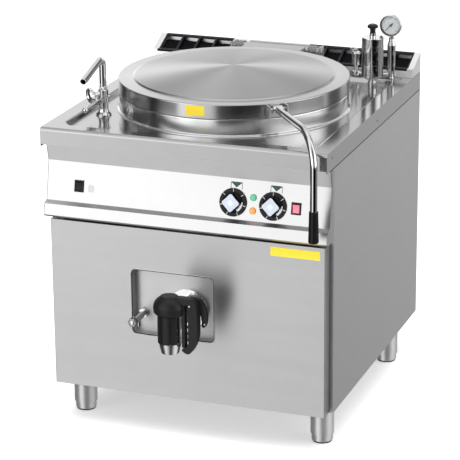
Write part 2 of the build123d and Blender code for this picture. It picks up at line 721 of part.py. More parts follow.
def steam_jacket():
    """The outer shell that holds the water and the steam round the pan, with the heater's boss."""
    r0, r1 = JACKET_R - PAN_WALL, JACKET_R
    shell = [(PAN_R + FIT, JACKET_TOP), (r1, JACKET_TOP), (r1, JACKET_LOW), (0, JACKET_LOW),
             (0, JACKET_LOW + PAN_WALL), (r0, JACKET_LOW + PAN_WALL), (r0, JACKET_TOP - PAN_WALL),
             (PAN_R + FIT, JACKET_TOP - PAN_WALL)]
    jacket = turned(shell, upright(0, AXIS_Y))
    boss_end = AXIS_Y + r1 + HEATER_BOSS_OUT
    inside = (0, AXIS_Y + r0 - 5, heater_z())
    boss = rod(HEATER_BOSS_R, (0, AXIS_Y + r0 - 1, heater_z()), (0, boss_end, heater_z()))
    bore = rod(HEATER_BOSS_R - PAN_WALL, inside, (0, boss_end, heater_z()))
    return jacket + boss - bore - jacket_cuts(FIT)


def jacket_insulation():
    """A lagging sleeve round the jacket, left open at its pipes and its heater boss."""
    r0 = JACKET_R + FIT
    sleeve = tube(LAGGING_R, r0, (0, AXIS_Y, JACKET_LOW), (0, AXIS_Y, JACKET_TOP))
    boss = rod(HEATER_FLANGE_R + 4, (0, AXIS_Y, heater_z()), (0, AXIS_Y + LAGGING_R + 5, heater_z()))
    return sleeve - jacket_cuts(FIT) - boss


def heater_bundle():
    """Three hairpin elements brazed into a flange at the back of the jacket."""
    flange_y = AXIS_Y + JACKET_R + HEATER_BOSS_OUT
    far = AXIS_Y - JACKET_R + HEATER_INSET
    z = heater_z()
    bundle = rod(HEATER_FLANGE_R, (0, flange_y, z), (0, flange_y + HEATER_FLANGE_T, z))
    for x in (-HEATER_PITCH, 0, HEATER_PITCH):
        low, high = z - HEATER_LIFT, z + HEATER_LIFT
        legs = Line((x, flange_y, low), (x, far, low))
        bend = ThreePointArc((x, far, low), (x, far - HEATER_LIFT, z), (x, far, high))
        back = Line((x, far, high), (x, flange_y, high))
        path = Wire([legs, bend, back])
        start = Plane(origin=(x, flange_y, low), z_dir=(0, -1, 0))
        bundle += sweep(start * Circle(HEATER_R), path=path)
    return bundle


def drain_pipe():
    """The outlet pipe, cut to the pan's wall at one end and flat in the recess at the other."""
    pipe = tube(DRAIN_PIPE_R, DRAIN_BORE_R, (0, AXIS_Y - VESSEL_R + 40, DRAIN_Z), (0, RECESS_Y, DRAIN_Z))
    return pipe - rod(PAN_R, (0, AXIS_Y, DRAIN_Z - 60), (0, AXIS_Y, DRAIN_Z + 60))


def level_pipe():
    """The pipe from the jacket to the level tap."""
    start = (-LEVEL_LEFT, AXIS_Y - VESSEL_R / 2, LEVEL_Z)
    pipe = tube(LEVEL_R, LEVEL_R - 2, start, (-LEVEL_LEFT, RECESS_Y, LEVEL_Z))
    low, high = LEVEL_Z - 40, LEVEL_Z + 40
    return pipe - rod(JACKET_R - PAN_WALL, (0, AXIS_Y, low), (0, AXIS_Y, high))


# ---------------------------------------------------------------- lid, its hinge and its handle
def lid_skin():
    """The lid's outer shell: skirt, flat rim, low step and a shallow crown."""
    r, low, rim = LID_R, LID_LOW, LID_RIM
    step = r - LID_STEP_IN
    disc = rim + LID_STEP_H
    outer = [(r, low), (r, rim - LID_EDGE), (r - LID_EDGE / 3, rim - LID_EDGE / 3), (r - LID_EDGE, rim),
             (step, rim), (step - LID_STEP_H, disc), (0, rim + LID_CROWN)]
    inner = [(0, rim + LID_CROWN - SKIN), (step - LID_STEP_H, disc - SKIN), (step, rim - SKIN),
             (r - LID_EDGE, rim - SKIN), (r - SKIN, rim - LID_EDGE), (r - SKIN, low)]
    return turned(outer + inner, upright(0, AXIS_Y))


def lid_inner_pan():
    """The lid's inner skin, turned up inside the skirt."""
    r = LID_R - SKIN
    top = LID_LOW + LID_SKIRT_H / 2
    profile = [(0, LID_LOW), (r, LID_LOW), (r, top), (r - SKIN, top), (r - SKIN, LID_LOW + SKIN),
               (0, LID_LOW + SKIN)]
    return turned(profile, upright(0, AXIS_Y))


def lid_gasket():
    r = PAN_R + COLLAR_W - 1.5
    low = (0, AXIS_Y, RIM_Z + STAND_OFF)
    return tube(r, r - GASKET_W, low, (0, AXIS_Y, LID_LOW))


def hinge_point(x):
    return x, HINGE_Y, HINGE_Z


def lid_hinge_bar():
    """A tube and its end pins behind the lid, joined to the lid's edge by a leaf and two gussets."""
    half = HINGE_SPAN / 2
    bar = rod(HINGE_TUBE_R, hinge_point(-half), hinge_point(half))
    out = HINGE_CHEEK_T + HINGE_PIN_OUT / 2
    bar += rod(HINGE_PIN_R, hinge_point(-half - out), hinge_point(half + out))
    leaf = HINGE_LEAF_W / 2
    top = HINGE_Z + HINGE_TUBE_R
    low = LID_LOW + LID_SKIRT_H / 4
    bar += block((-leaf, leaf), (AXIS_Y, HINGE_Y), (top - HINGE_LEAF_T, top))
    bar += mirrored(block((leaf - HINGE_LEAF_T, leaf), (AXIS_Y, HINGE_Y), (low, top - HINGE_LEAF_T / 2)))
    return bar - rod(LID_R, (0, AXIS_Y, LID_LOW - SINK), (0, AXIS_Y, LID_RIM + SINK))


def hinge_springs():
    """Two coil springs round the hinge tube, between the leaf and the cheeks."""
    springs = Part()
    radius = HINGE_TUBE_R + STAND_OFF + SPRING_WIRE_R
    length = SPRING_PITCH * SPRING_TURNS
    half = HINGE_SPAN / 2
    for x in (-half + SPRING_WIRE_R, half - length - SPRING_WIRE_R):
        coil = Helix(SPRING_PITCH, length, radius)
        wire = sweep(Plane(origin=coil @ 0, z_dir=coil % 0) * Circle(SPRING_WIRE_R), path=coil, is_frenet=True)
        springs += Plane(origin=hinge_point(x), z_dir=(1, 0, 0)) * wire
    return springs


def hinge_housing():
    """Two bored cheeks on a base plate, with a folded cover behind the tube."""
    inner = HINGE_SPAN / 2 + STAND_OFF
    outer = inner + HINGE_CHEEK_T
    y1 = UPSTAND_Y - STAND_OFF
    y0 = y1 - HINGE_CHEEK_W
    base_top = WORKTOP_Z + HINGE_BASE_T
    housing = block((-outer, outer), (y0, y1), (WORKTOP_Z, base_top))
    housing += mirrored(block((inner, outer), (y0, y1), (WORKTOP_Z, HINGE_Z + HINGE_TUBE_R)))
    housing -= rod(HINGE_PIN_R + RUN, hinge_point(-outer - 1), hinge_point(outer + 1))
    cover_y = HINGE_Y + HINGE_TUBE_R + STAND_OFF
    leaf = HINGE_LEAF_W / 2
    top = HINGE_Z + HINGE_TUBE_R
    cover = block((-leaf, leaf), (cover_y, y1), (WORKTOP_Z, top))
    cover -= block((-leaf + SHEET, leaf - SHEET), (cover_y + SHEET, y1), (WORKTOP_Z, top - SHEET))
    return housing + cover


def handle_point(out, height):
    """A point at a distance outside the lid's edge, in the handle's upright plane."""
    a = radians(HANDLE_ANGLE)
    r = LID_R + out
    return r * cos(a), AXIS_Y + r * sin(a), height


def lid_handle_bracket():
    """Two lugs on the lid's skirt with a cross pin between them."""
    a = radians(HANDLE_ANGLE)
    place = Plane(origin=(0, AXIS_Y, LID_LOW), x_dir=(cos(a), sin(a), 0), z_dir=(0, 0, 1))
    foot_z = (LID_SKIRT_H - LUG_H) / 2
    lugs = Part()
    for side in (-1, 1):
        y = side * LUG_SPREAD / 2
        lugs += block((LID_R - 20, LID_R + LUG_OUT), (y - LUG_T / 2, y + LUG_T / 2), (foot_z, foot_z + LUG_H))
    lugs += block((LID_R - 20, LID_R + LUG_T), (-LUG_SPREAD / 2, LUG_SPREAD / 2), (foot_z, foot_z + LUG_H / 2))
    pin_x = LID_R + LUG_OUT / 2
    half = LUG_SPREAD / 2 + LUG_T
    lugs += rod(LUG_PIN_R, (pin_x, -half, HANDLE_START_H), (pin_x, half, HANDLE_START_H))
    lugs -= rod(LID_R, (0, 0, -1), (0, 0, LID_SKIRT_H + 5))
    return place * lugs


def lid_handle_rod():
    """The long bent rod: out from the lid, round one wide bend and down past the worktop's edge."""
    start_z = LID_LOW + HANDLE_START_H
    points = [handle_point(LUG_OUT / 2, start_z), handle_point(HANDLE_OUT, start_z - HANDLE_DROP),
              handle_point(HANDLE_OUT, WORKTOP_Z - HANDLE_LOW_Z + 15)]
    bar = bent_bar(points, HANDLE_BEND_R, HANDLE_ROD_R)
    a = radians(HANDLE_ANGLE)
    across = Vector(-sin(a), cos(a), 0) * (HANDLE_ROD_R + 3)
    pin = Vector(*points[0])
    eye = rod(HANDLE_ROD_R, tuple(pin - across), tuple(pin + across))
    hole = rod(LUG_PIN_R, tuple(pin - across * 2), tuple(pin + across * 2))
    return bar + eye - hole


def lid_handle_grip():
    low = WORKTOP_Z - HANDLE_LOW_Z
    top = low + GRIP_L
    x, y, _ = handle_point(HANDLE_OUT, 0)
    bore_low = low + 15
    profile = [(0, low), (GRIP_LOW_R - 3, low), (GRIP_LOW_R, low + 3), (GRIP_LOW_R, low + 20),
               (GRIP_TOP_R, top - 2), (GRIP_TOP_R - 1, top), (HANDLE_ROD_R, top), (HANDLE_ROD_R, bore_low),
               (0, bore_low)]
    return turned(profile, upright(x, y))


# ---------------------------------------------------------------- water tap
def tap_place():
    return upright(TAP_X, TAP_Y)


def tap_base():
    """Rosette, cone and body of the tap, with its shank and nut under the worktop."""
    low = SUNK_Z
    shank = shank_r(TAP_BODY_R)
    under = SUNK_Z - SHEET
    ring_z = WORKTOP_Z + TAP_LEVER_H - TAP_LEVER_RING_H / 2 - STAND_OFF
    ring_top = ring_z + TAP_LEVER_RING_H + 2 * STAND_OFF
    neck = TAP_BODY_R - 3
    top = WORKTOP_Z + TAP_BODY_TOP
    profile = [(0, under - 25), (shank, under - 25), (shank, under - 12), (TAP_BODY_R + 2, under - 12),
               (TAP_BODY_R + 2, under), (shank, under), (shank, low), (TAP_BASE_R, low),
               (TAP_BASE_R, low + 3), (TAP_BODY_R + 1, low + 10), (TAP_BODY_R - 1, low + 20),
               (TAP_BODY_R, ring_z), (neck, ring_z), (neck, ring_top), (TAP_BODY_R, ring_top),
               (TAP_BODY_R, top - 2), (TAP_BODY_R - 2, top), (0, top)]
    body = turned(profile, tap_place())
    stem = rod(TAP_TUBE_R - STAND_OFF - 2.5, (TAP_X, TAP_Y, top), (TAP_X, TAP_Y, top + TAP_NUT_H))
    wheel = wheel_plane()
    boss_end = wheel.origin - wheel.z_dir * TAP_WHEEL_HUB
    boss = rod(TAP_WHEEL_BOSS_R, (TAP_X, TAP_Y, WORKTOP_Z + TAP_WHEEL_H), tuple(boss_end))
    socket = rod(4 + RUN, tuple(wheel.origin - wheel.z_dir * 22), tuple(wheel.origin))
    return body + stem + boss - socket


def wheel_plane():
    """The handwheel's back face, square to its slanting spindle."""
    a, t = radians(TAP_WHEEL_ANGLE), radians(TAP_WHEEL_TILT)
    out = Vector(cos(a) * cos(t), sin(a) * cos(t), -sin(t))
    origin = Vector(TAP_X, TAP_Y, WORKTOP_Z + TAP_WHEEL_H) + out * (TAP_WHEEL_OUT - TAP_WHEEL_T / 2)
    return Plane(origin=origin, z_dir=out)


def tap_handwheel():
    r, t = TAP_WHEEL_R, TAP_WHEEL_T
    rim = [(0, 0), (r - 3, 0), (r, 3), (r, t - 3), (r - 3, t), (r - 6, t - 1), (r - 9, t - 4), (0, t - 4)]
    hub = STAND_OFF - TAP_WHEEL_HUB
    wheel = turned(rim) + rod(4, (0, 0, -21), (0, 0, t / 2)) + rod(6.5, (0, 0, hub), (0, 0, t / 2))
    for step in range(8):
        wheel -= Rot(0, 0, step * 45) * rod(2.5, (r + 1, 0, -1), (r + 1, 0, t + 1))
    return wheel_plane() * wheel


def tap_lever():
    """A quarter-turn lever on a ring round the tap's body."""
    z = WORKTOP_Z + TAP_LEVER_H
    half = TAP_LEVER_RING_H / 2
    ring = rod(TAP_LEVER_RING_R, (TAP_X, TAP_Y, z - half), (TAP_X, TAP_Y, z + half))
    arm = rod(TAP_LEVER_R, (TAP_X, TAP_Y, z), (TAP_X, TAP_Y - TAP_LEVER_L, z))
    ball = Pos(TAP_X, TAP_Y - TAP_LEVER_L, z) * Sphere(TAP_LEVER_R + 2)
    bore = rod(TAP_BODY_R - 3 + RUN, (TAP_X, TAP_Y, z - half - 1), (TAP_X, TAP_Y, z + half + 1))
    return ring + arm + ball - bore


def tap_spout():
    """The swivelling tube: up, round a tight turn and down to its open mouth, on a union nut."""
    base = WORKTOP_Z + TAP_BODY_TOP + STAND_OFF
    crown = WORKTOP_Z + TAP_TOP
    points = [(TAP_X, TAP_Y, base), (TAP_X, TAP_Y, crown - 8), (TAP_X, TAP_Y - TAP_TURN_R, crown),
              (TAP_X, TAP_Y - TAP_REACH, crown - TAP_FALL)]
    spout = bent_bar(points, TAP_TURN_R * 0.8, TAP_TUBE_R, TAP_TUBE_BORE)
    nut = extrude(Plane(origin=(TAP_X, TAP_Y, base)) * (RegularPolygon(TAP_NUT_R, 6) - Circle(TAP_TUBE_R)),
                  amount=TAP_NUT_H)
    return spout + nut


# ---------------------------------------------------------------- safety valve, vent and gauge
def safety_valve_body():
    """A polished upright case on a hexagon foot, bored for the valve's stem."""
    nut_top = WORKTOP_Z + SAFETY_LOW
    high = WORKTOP_Z + SAFETY_HIGH
    c = SAFETY_CHAMFER
    collar = high + 11
    shank = shank_r(SAFETY_NUT_R)
    bore = SAFETY_STEM_R + RUN
    deep = high - 30
    profile = [(0, SUNK_Z - 20), (shank, SUNK_Z - 20), (shank, SUNK_Z), (SAFETY_NUT_R, SUNK_Z),
               (SAFETY_NUT_R, nut_top - 8), (SAFETY_NUT_R - 2, nut_top - 6), (SAFETY_NUT_R - 2, nut_top),
               (SAFETY_R - c, nut_top), (SAFETY_R, nut_top + c * 0.7), (SAFETY_R, high - 1),
               (SAFETY_R - 1, high), (SAFETY_COLLAR_R, high), (SAFETY_COLLAR_R, collar),
               (bore, collar), (bore, deep), (0, deep)]
    return turned(profile, upright(SAFETY_X, SAFETY_Y))


def safety_valve_knob():
    """The pull knob and its stem."""
    base = WORKTOP_Z + SAFETY_HIGH + 11 + STAND_OFF
    top = WORKTOP_Z + SAFETY_HIGH + SAFETY_KNOB_H
    r = SAFETY_KNOB_R
    low = base - 32
    profile = [(0, low), (SAFETY_STEM_R, low), (SAFETY_STEM_R, base), (8.5, base), (7.5, base + 6),
               (8.5, top - 13), (r - 1, top - 10), (r, top - 7), (r - 2, top - 2.5), (r - 7, top), (0, top)]
    return turned(profile, upright(SAFETY_X, SAFETY_Y))


def valve_manifold():
    """The pipe behind the safety valve that joins the vent and the gauge to the jacket."""
    z = WORKTOP_Z + MANIFOLD_H
    run = rod(MANIFOLD_R, (VENT_X, GROUP_Y, z), (GAUGE_X, GROUP_Y, z))
    nut = rod(MANIFOLD_R + 2, (GAUGE_X - 14, GROUP_Y, z), (GAUGE_X, GROUP_Y, z))
    middle = (VENT_X + GAUGE_X) / 2
    foot = rod(MANIFOLD_R, (middle, GROUP_Y, WORKTOP_Z), (middle, GROUP_Y, z))
    riser = rod(GAUGE_FOOT_R, (GAUGE_X, GROUP_Y, WORKTOP_Z), (GAUGE_X, GROUP_Y, z + 2 * MANIFOLD_R))
    vent = rod(VENT_R, (VENT_X, GROUP_Y, WORKTOP_Z), (VENT_X, GROUP_Y, z + 2 * MANIFOLD_R))
    return run + nut + foot - riser - vent


def gauge_riser():
    """The gauge's stand: a thin stem with a tee, a thick body tapering to the gauge's neck."""
    z = WORKTOP_Z
    case_y = GROUP_Y - GAUGE_FORWARD + GAUGE_T
    neck = GAUGE_H - GAUGE_R
    profile = [(0, z), (GAUGE_FOOT_R, z), (GAUGE_FOOT_R, z + 2), (GAUGE_STEM_R + 3, z + 4),
               (GAUGE_STEM_R + 3, z + 14),
               (GAUGE_STEM_R, z + 15), (GAUGE_STEM_R, z + 22), (GAUGE_RISER_R, z + 23),
               (GAUGE_RISER_R, z + neck - 28), (GAUGE_RISER_R - 4, z + neck - 14), (8, z + neck - 12),
               (8, z + neck - 6), (0, z + neck - 6)]
    riser = turned(profile, upright(GAUGE_X, GROUP_Y))
    riser += rod(6, (GAUGE_X, GROUP_Y, z + neck - 10), (GAUGE_X, GROUP_Y, z + GAUGE_H))
    case = rod(GAUGE_R, (GAUGE_X, case_y, z + GAUGE_H), (GAUGE_X, case_y - 2 * GAUGE_T, z + GAUGE_H))
    return riser - case


def gauge_plane():
    """The gauge's face, with its middle at the front rim."""
    return Plane(origin=(GAUGE_X, GROUP_Y - GAUGE_FORWARD, WORKTOP_Z + GAUGE_H),
                 x_dir=(1, 0, 0), z_dir=(0, -1, 0))


def gauge_case():
    """The case with its front rim, the dial plate inside it and the needle's arbor."""
    r = GAUGE_R
    shell = [(0, -GAUGE_T), (r - 2, -GAUGE_T), (r, -GAUGE_T + 2), (r, -1), (r - 1, 0), (r - GAUGE_WALL, 0),
             (r - GAUGE_WALL, -8), (0, -8)]
    case = turned(shell) + rod(1.5, (0, 0, -8.5), (0, 0, -4))
    return gauge_plane() * case


def gauge_needle():
    """The needle on its arbor, pointing down and to the left at rest."""
    hub = rod(3.5, (0, 0, -6.5), (0, 0, -5)) - rod(1.5 + RUN, (0, 0, -7), (0, 0, -4))
    pointer = make_face(Polyline((-9, -1.6), (-9, 1.6), (22, 0.5), (22, -0.5), close=True))
    blade = Pos(0, 0, -6.4) * extrude(pointer, amount=0.8)
    blade -= rod(1.5 + RUN, (0, 0, -7), (0, 0, -4))
    return gauge_plane() * Rot(0, 0, 225) * (hub + blade)


def gauge_lens():
    lens = rod(GAUGE_R - GAUGE_WALL, (0, 0, -3), (0, 0, -1.5))
    return gauge_plane() * lens


def vent_valve_body():
    """An upright air valve on a thin stem at the end of the manifold."""
    z = WORKTOP_Z
    r = VENT_R
    profile = [(0, z), (9, z), (9, z + 2), (6, z + 3), (r - 2, z + MANIFOLD_H - 6), (r, z + MANIFOLD_H - 5),
               (r, z + MANIFOLD_H + 6), (6, z + MANIFOLD_H + 8), (6, z + 30), (r, z + 32), (r, z + VENT_H - 6),
               (r - 3, z + VENT_H - 2), (5, z + VENT_H - 2), (5, z + VENT_H), (2.5, z + VENT_H),
               (2.5, z + VENT_H + 6), (0, z + VENT_H + 6)]
    return turned(profile, upright(VENT_X, GROUP_Y))


def vent_valve_lever():
    """A small lever on the vent's spindle, with a raised end to the left."""
    z = WORKTOP_Z + VENT_H + STAND_OFF
    hub = tube(6, 2.5 + RUN, (VENT_X, GROUP_Y, z), (VENT_X, GROUP_Y, z + 5))
    arm = block((VENT_X - 15, VENT_X - 4), (GROUP_Y - 3, GROUP_Y + 3), (z, z + 3))
    tip = rod(3, (VENT_X - 15, GROUP_Y, z), (VENT_X - 15, GROUP_Y, z + 8))
    return hub + arm + tip


# ---------------------------------------------------------------- drain valve
def valve_point(x, y, z):
    """A point measured from where the valve's upright axis crosses the drain line."""
    return x, DRAIN_Y + y, DRAIN_Z + z


def drain_valve_body():
    """Flange, inlet and upright barrel with the flared spout under it, bored for the plug."""
    flange_y = RECESS_Y - DRAIN_Y
    body = rod(DRAIN_FLANGE_R, valve_point(0, flange_y - DRAIN_FLANGE_T, 0), valve_point(0, flange_y, 0))
    hexagon = Plane(origin=valve_point(0, flange_y - DRAIN_FLANGE_T, 0), z_dir=(0, -1, 0))
    body += extrude(hexagon * RegularPolygon(DRAIN_PIPE_R + 12, 6), amount=18)
    body += rod(DRAIN_PIPE_R, valve_point(0, 0, 0), valve_point(0, flange_y, 0))
    low = -VALVE_LOW
    outer = [(0, VALVE_TOP), (VALVE_R, VALVE_TOP), (VALVE_R, low), (SPOUT_TOP_R, low),
             (SPOUT_LOW_R, low - SPOUT_H), (0, low - SPOUT_H)]
    body += turned(outer, Plane(origin=valve_point(0, 0, 0)))
    wall = SPOUT_WALL
    bore = [(0, VALVE_TOP), (PLUG_R + RUN, VALVE_TOP), (PLUG_R + RUN, -PLUG_LOW), (PLUG_R - 2, -PLUG_LOW),
            (PLUG_R - 2, low), (SPOUT_TOP_R - wall, low - wall), (SPOUT_LOW_R - wall, low - SPOUT_H),
            (0, low - SPOUT_H)]
    body -= turned(bore, Plane(origin=valve_point(0, 0, 0)))
    return body - rod(DRAIN_BORE_R, valve_point(0, 0, 0), valve_point(0, flange_y, 0))


def drain_valve_plug():
    """The plug that shuts the inlet, with its stem up into the cap."""
    low, top = -PLUG_LOW, VALVE_TOP
    plug = rod(PLUG_R, valve_point(0, 0, low + STAND_OFF), valve_point(0, 0, top))
    plug -= rod(13, valve_point(0, 0, low), valve_point(0, 0, 0))
    plug -= rod(13, valve_point(-PLUG_R - 2, 0, 0), valve_point(0, 0, 0))
    return plug + rod(9, valve_point(0, 0, top), valve_point(0, 0, top + CAP_SIDE_H - 8))


def drain_valve_guard():
    """A ribbed heat guard round the barrel, open where the inlet passes through it."""
    r0, r1 = VALVE_R + FIT, VALVE_R + FIT + GUARD_T
    low, top = -VALVE_LOW, VALVE_TOP - 1
    guard = tube(r1, r0, valve_point(0, 0, low), valve_point(0, 0, top))
    for rib in range(GUARD_RIBS):
        angle = radians(360 / GUARD_RIBS * (rib + 0.5))
        x, y = (r1 + 0.6) * cos(angle), (r1 + 0.6) * sin(angle)
        guard -= rod(1.6, valve_point(x, y, low - 1), valve_point(x, y, top + 1))
        guard -= rod(4, valve_point(r0 * cos(angle) * 0.9, r0 * sin(angle) * 0.9, low),
                     valve_point(r1 * cos(angle) * 1.2, r1 * sin(angle) * 1.2, low))
    inlet = DRAIN_PIPE_R + 13 + STAND_OFF
    x, y, z = valve_point(0, 0, 0)
    return guard - block((x - inlet, x + inlet), (y, y + 2 * r1), (z - inlet, z + 2 * inlet))


def lever_outline():
    """The hanging lever seen from the front: straight outside, finger waves inside."""
    x0, x1 = LEVER_OUT - LEVER_W / 2, LEVER_OUT + LEVER_W / 2
    top = VALVE_TOP + CAP_H - 3
    low = top - LEVER_L
    shoulder = top - ARM_T
    wave = (shoulder - 18 - (low + 24)) / LEVER_WAVES
    outline = [(x1 - 10, top), (x1, top - 12), (x1, low + 26), (x1 - 8, low + 4), (x1 - 14, low),
               (x0 - 4, low + 8), (x0, low + 24)]
    for index in range(LEVER_WAVES):
        z = low + 24 + index * wave
        outline += [(x0 + 3.5, z + wave * 0.35), (x0 + 3.5, z + wave * 0.65), (x0, z + wave)]
    return outline + [(x0 + 2, shoulder), (x0 + 2, top)]


def drain_valve_handle():
    """The mushroom cap, its arm, the hanging lever, the inner strip and the rear hook."""
    r = CAP_R
    z0 = VALVE_TOP + STAND_OFF
    top = VALVE_TOP + CAP_H
    side = z0 + CAP_SIDE_H
    socket = 9
    cap = [(socket, z0), (r - 5, z0), (r - 1, z0 + 3), (r, side), (r - 3, side + 9), (r - 9, side + 17),
           (CAP_DISC_R + 2, top - 3), (CAP_DISC_R, top), (0, top), (0, top - 26), (socket, top - 26)]
    handle = turned(cap, Plane(origin=valve_point(0, 0, 0)))
    x0, x1 = LEVER_OUT - LEVER_W / 2, LEVER_OUT + LEVER_W / 2
    half = ARM_W / 2
    arm_top = top - 3
    lever = make_face(Polyline(*lever_outline(), close=True))
    front = Plane(origin=valve_point(0, half, 0), x_dir=(1, 0, 0), z_dir=(0, -1, 0))
    handle += extrude(front * lever, amount=ARM_W)
    x, y, z = valve_point(0, 0, 0)
    arm = block((x + CAP_DISC_R, x + x0 + 6), (y - half, y + half), (z + arm_top - ARM_T, z + arm_top))
    handle += chamfer(arm.edges().filter_by(Axis.X).group_by(Axis.Z)[-1], 4)
    strip_x = x0 - TRIGGER_GAP
    strip_low = arm_top - LEVER_L + 32
    handle += block((x + strip_x - TRIGGER_W, x + strip_x), (y - 9, y + 9),
                    (z + strip_low, z + arm_top - ARM_T / 2))
    hook = [(x1 - 14, arm_top - 2), (x1 + 2, arm_top - 5), (x1 + 13, arm_top - 20), (x1 + 18, arm_top - 40),
            (x1 + 18, arm_top - 62), (x1 + 13, arm_top - 76), (x1 + 5, arm_top - 74),
            (x1 + 3, arm_top - 58), (x1 + 1, arm_top - 38), (x1 - 6, arm_top - 20)]
    hook_face = make_face(Polyline(*hook, close=True))
    rear = Plane(origin=valve_point(0, half + 7, 0), x_dir=(1, 0, 0), z_dir=(0, -1, 0))
    return handle + extrude(rear * hook_face, amount=10)


# ---------------------------------------------------------------- level tap
def level_point(y, z=0.0):
    return -LEVEL_LEFT, RECESS_Y + y, LEVEL_Z + z


def level_tap_body():
    """A small cock: hexagon nut on the recess, barrel, and an outlet pointing down."""
    nut = Plane(origin=level_point(0), z_dir=(0, -1, 0))
    body = extrude(nut * RegularPolygon(LEVEL_NUT_R, 6), amount=9)
    end = LEVEL_KNOB_T + 4 - LEVEL_OUT
    body += rod(LEVEL_R, level_point(0), level_point(end))
    body += rod(LEVEL_R + 2.5, level_point(-28), level_point(end + 4))
    body += tube(5.5, 3.5, level_point(-42, 0), level_point(-42, -26))
    body -= rod(3.5, level_point(-42, -2), level_point(-42, -27))
    return body - rod(3 + RUN, level_point(end + 14), level_point(end - 1))


def level_tap_knob():
    """A lobed chrome knob on the cock's spindle."""
    front = LEVEL_KNOB_T - LEVEL_OUT + 4 - STAND_OFF
    face = Circle(LEVEL_KNOB_R)
    for lobe in range(LEVEL_LOBES):
        angle = radians(360 / LEVEL_LOBES * lobe)
        dip = LEVEL_KNOB_R + 2.2
        face -= Pos(dip * cos(angle), dip * sin(angle)) * Circle(5)
    knob = extrude(Plane(origin=level_point(front), z_dir=(0, -1, 0)) * face, amount=LEVEL_KNOB_T)
    knob += rod(3, level_point(front), level_point(front + 13))
    return knob


PARTS = {
    "base_pan": base_pan, "corner_posts": corner_posts, "left_side_panel": left_side_panel,
    "right_side_panel": right_side_panel, "back_panel": back_panel, "front_panel": front_panel,
    "drain_recess_box": drain_recess_box, "worktop": worktop, "rear_upstand": rear_upstand,
    "control_console": control_console, "console_end_caps": console_end_caps,
    "foot_sleeves": foot_sleeves, "inner_vessel": inner_vessel, "vessel_collar": vessel_collar,
    "steam_jacket": steam_jacket, "jacket_insulation": jacket_insulation, "heater_bundle": heater_bundle,
    "drain_pipe": drain_pipe, "level_pipe": level_pipe, "water_inlet": water_inlet,
    "lid_skin": lid_skin, "lid_inner_pan": lid_inner_pan, "lid_gasket": lid_gasket,
    "lid_hinge_bar": lid_hinge_bar, "hinge_springs": hinge_springs, "hinge_housing": hinge_housing,
    "lid_handle_bracket": lid_handle_bracket, "lid_handle_rod": lid_handle_rod,
    "lid_handle_grip": lid_handle_grip, "tap_base": tap_base, "tap_spout": tap_spout,
    "tap_handwheel": tap_handwheel, "tap_lever": tap_lever, "safety_valve_body": safety_valve_body,
    "safety_valve_knob": safety_valve_knob, "valve_manifold": valve_manifold, "gauge_riser": gauge_riser,
    "gauge_case": gauge_case, "gauge_needle": gauge_needle, "gauge_lens": gauge_lens,
    "vent_valve_body": vent_valve_body, "vent_valve_lever": vent_valve_lever,
    "drain_valve_body": drain_valve_body, "drain_valve_plug": drain_valve_plug,
    "drain_valve_guard": drain_valve_guard, "drain_valve_handle": drain_valve_handle,
    "level_tap_body": level_tap_body, "level_tap_knob": level_tap_knob,
    "indicator_lamps": indicator_lamps, "switch_cases": switch_cases,
}


def main():
    shapes = {name: make() for name, make in PARTS.items()}
    shapes["flue_grille_left"] = flue_grille(LEFT_CELLS, "left")
    shapes["flue_grille_right"] = flue_grille(RIGHT_CELLS, "right")
    for place, name in zip(foot_places(), ("front_left", "front_right", "rear_left", "rear_right")):
        shapes[f"foot_{name}"] = foot(*place)
    for side, knob_x, switch_x in zip(("left", "right"), knob_places(), switch_places()):
        shapes[f"{side}_knob"] = control_knob(knob_x)
        shapes[f"{side}_rocker"] = rocker(switch_x)
    for name, shape in shapes.items():
        export_step(shape, f"parts/{name}.step")


main()
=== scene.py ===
import json
from math import atan2, cos, hypot, pi, radians, sin

import bmesh
import bpy
from mathutils import Matrix, Vector


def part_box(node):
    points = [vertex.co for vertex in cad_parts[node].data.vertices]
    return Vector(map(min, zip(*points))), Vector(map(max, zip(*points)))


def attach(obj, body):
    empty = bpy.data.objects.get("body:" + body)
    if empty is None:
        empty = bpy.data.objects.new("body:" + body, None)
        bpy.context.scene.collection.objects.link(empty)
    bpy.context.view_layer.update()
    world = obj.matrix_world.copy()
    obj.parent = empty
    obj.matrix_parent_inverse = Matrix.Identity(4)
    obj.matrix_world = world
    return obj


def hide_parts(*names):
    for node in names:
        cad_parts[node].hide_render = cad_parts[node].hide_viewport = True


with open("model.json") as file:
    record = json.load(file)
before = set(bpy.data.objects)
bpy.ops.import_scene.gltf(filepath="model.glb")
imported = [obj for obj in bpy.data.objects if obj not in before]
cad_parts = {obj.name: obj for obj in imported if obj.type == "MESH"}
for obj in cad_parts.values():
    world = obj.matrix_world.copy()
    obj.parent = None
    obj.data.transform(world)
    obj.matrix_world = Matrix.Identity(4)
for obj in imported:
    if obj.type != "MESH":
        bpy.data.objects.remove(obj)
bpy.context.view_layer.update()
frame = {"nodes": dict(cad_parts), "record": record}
NODES = frame["nodes"]
BODY_OF = {node: body for body, nodes in frame["record"]["behaviour"]["bodies"].items() for node in nodes}
SLOT_OF = {name: node.material_slots[0].material.name for name, node in NODES.items()}

# Sizes are in millimetres, as in the part's own drawing, and become metres when a piece is finished.
MM = 0.001
HALF_W = 400.0
CABINET_BACK = 497.0
DOOR_Y = -360.0
# The worktop's rim, its sunken floor and the lower edge of its side skirts
TOP_Z = 850.0
SUNK_Z = 838.0
SKIRT_Z = 798.0
# The pan's upright axis, and round it the lid's skirt with its lower edge and its rim
AXIS_Y = 27.0
LID_R = 318.4
LID_LOW = 887.0
LID_RIM = 925.4
# The drain opening in the door: left, right, low, high and corner radius
DRAIN_OPENING = (-157, 80, 287, 472, 14)
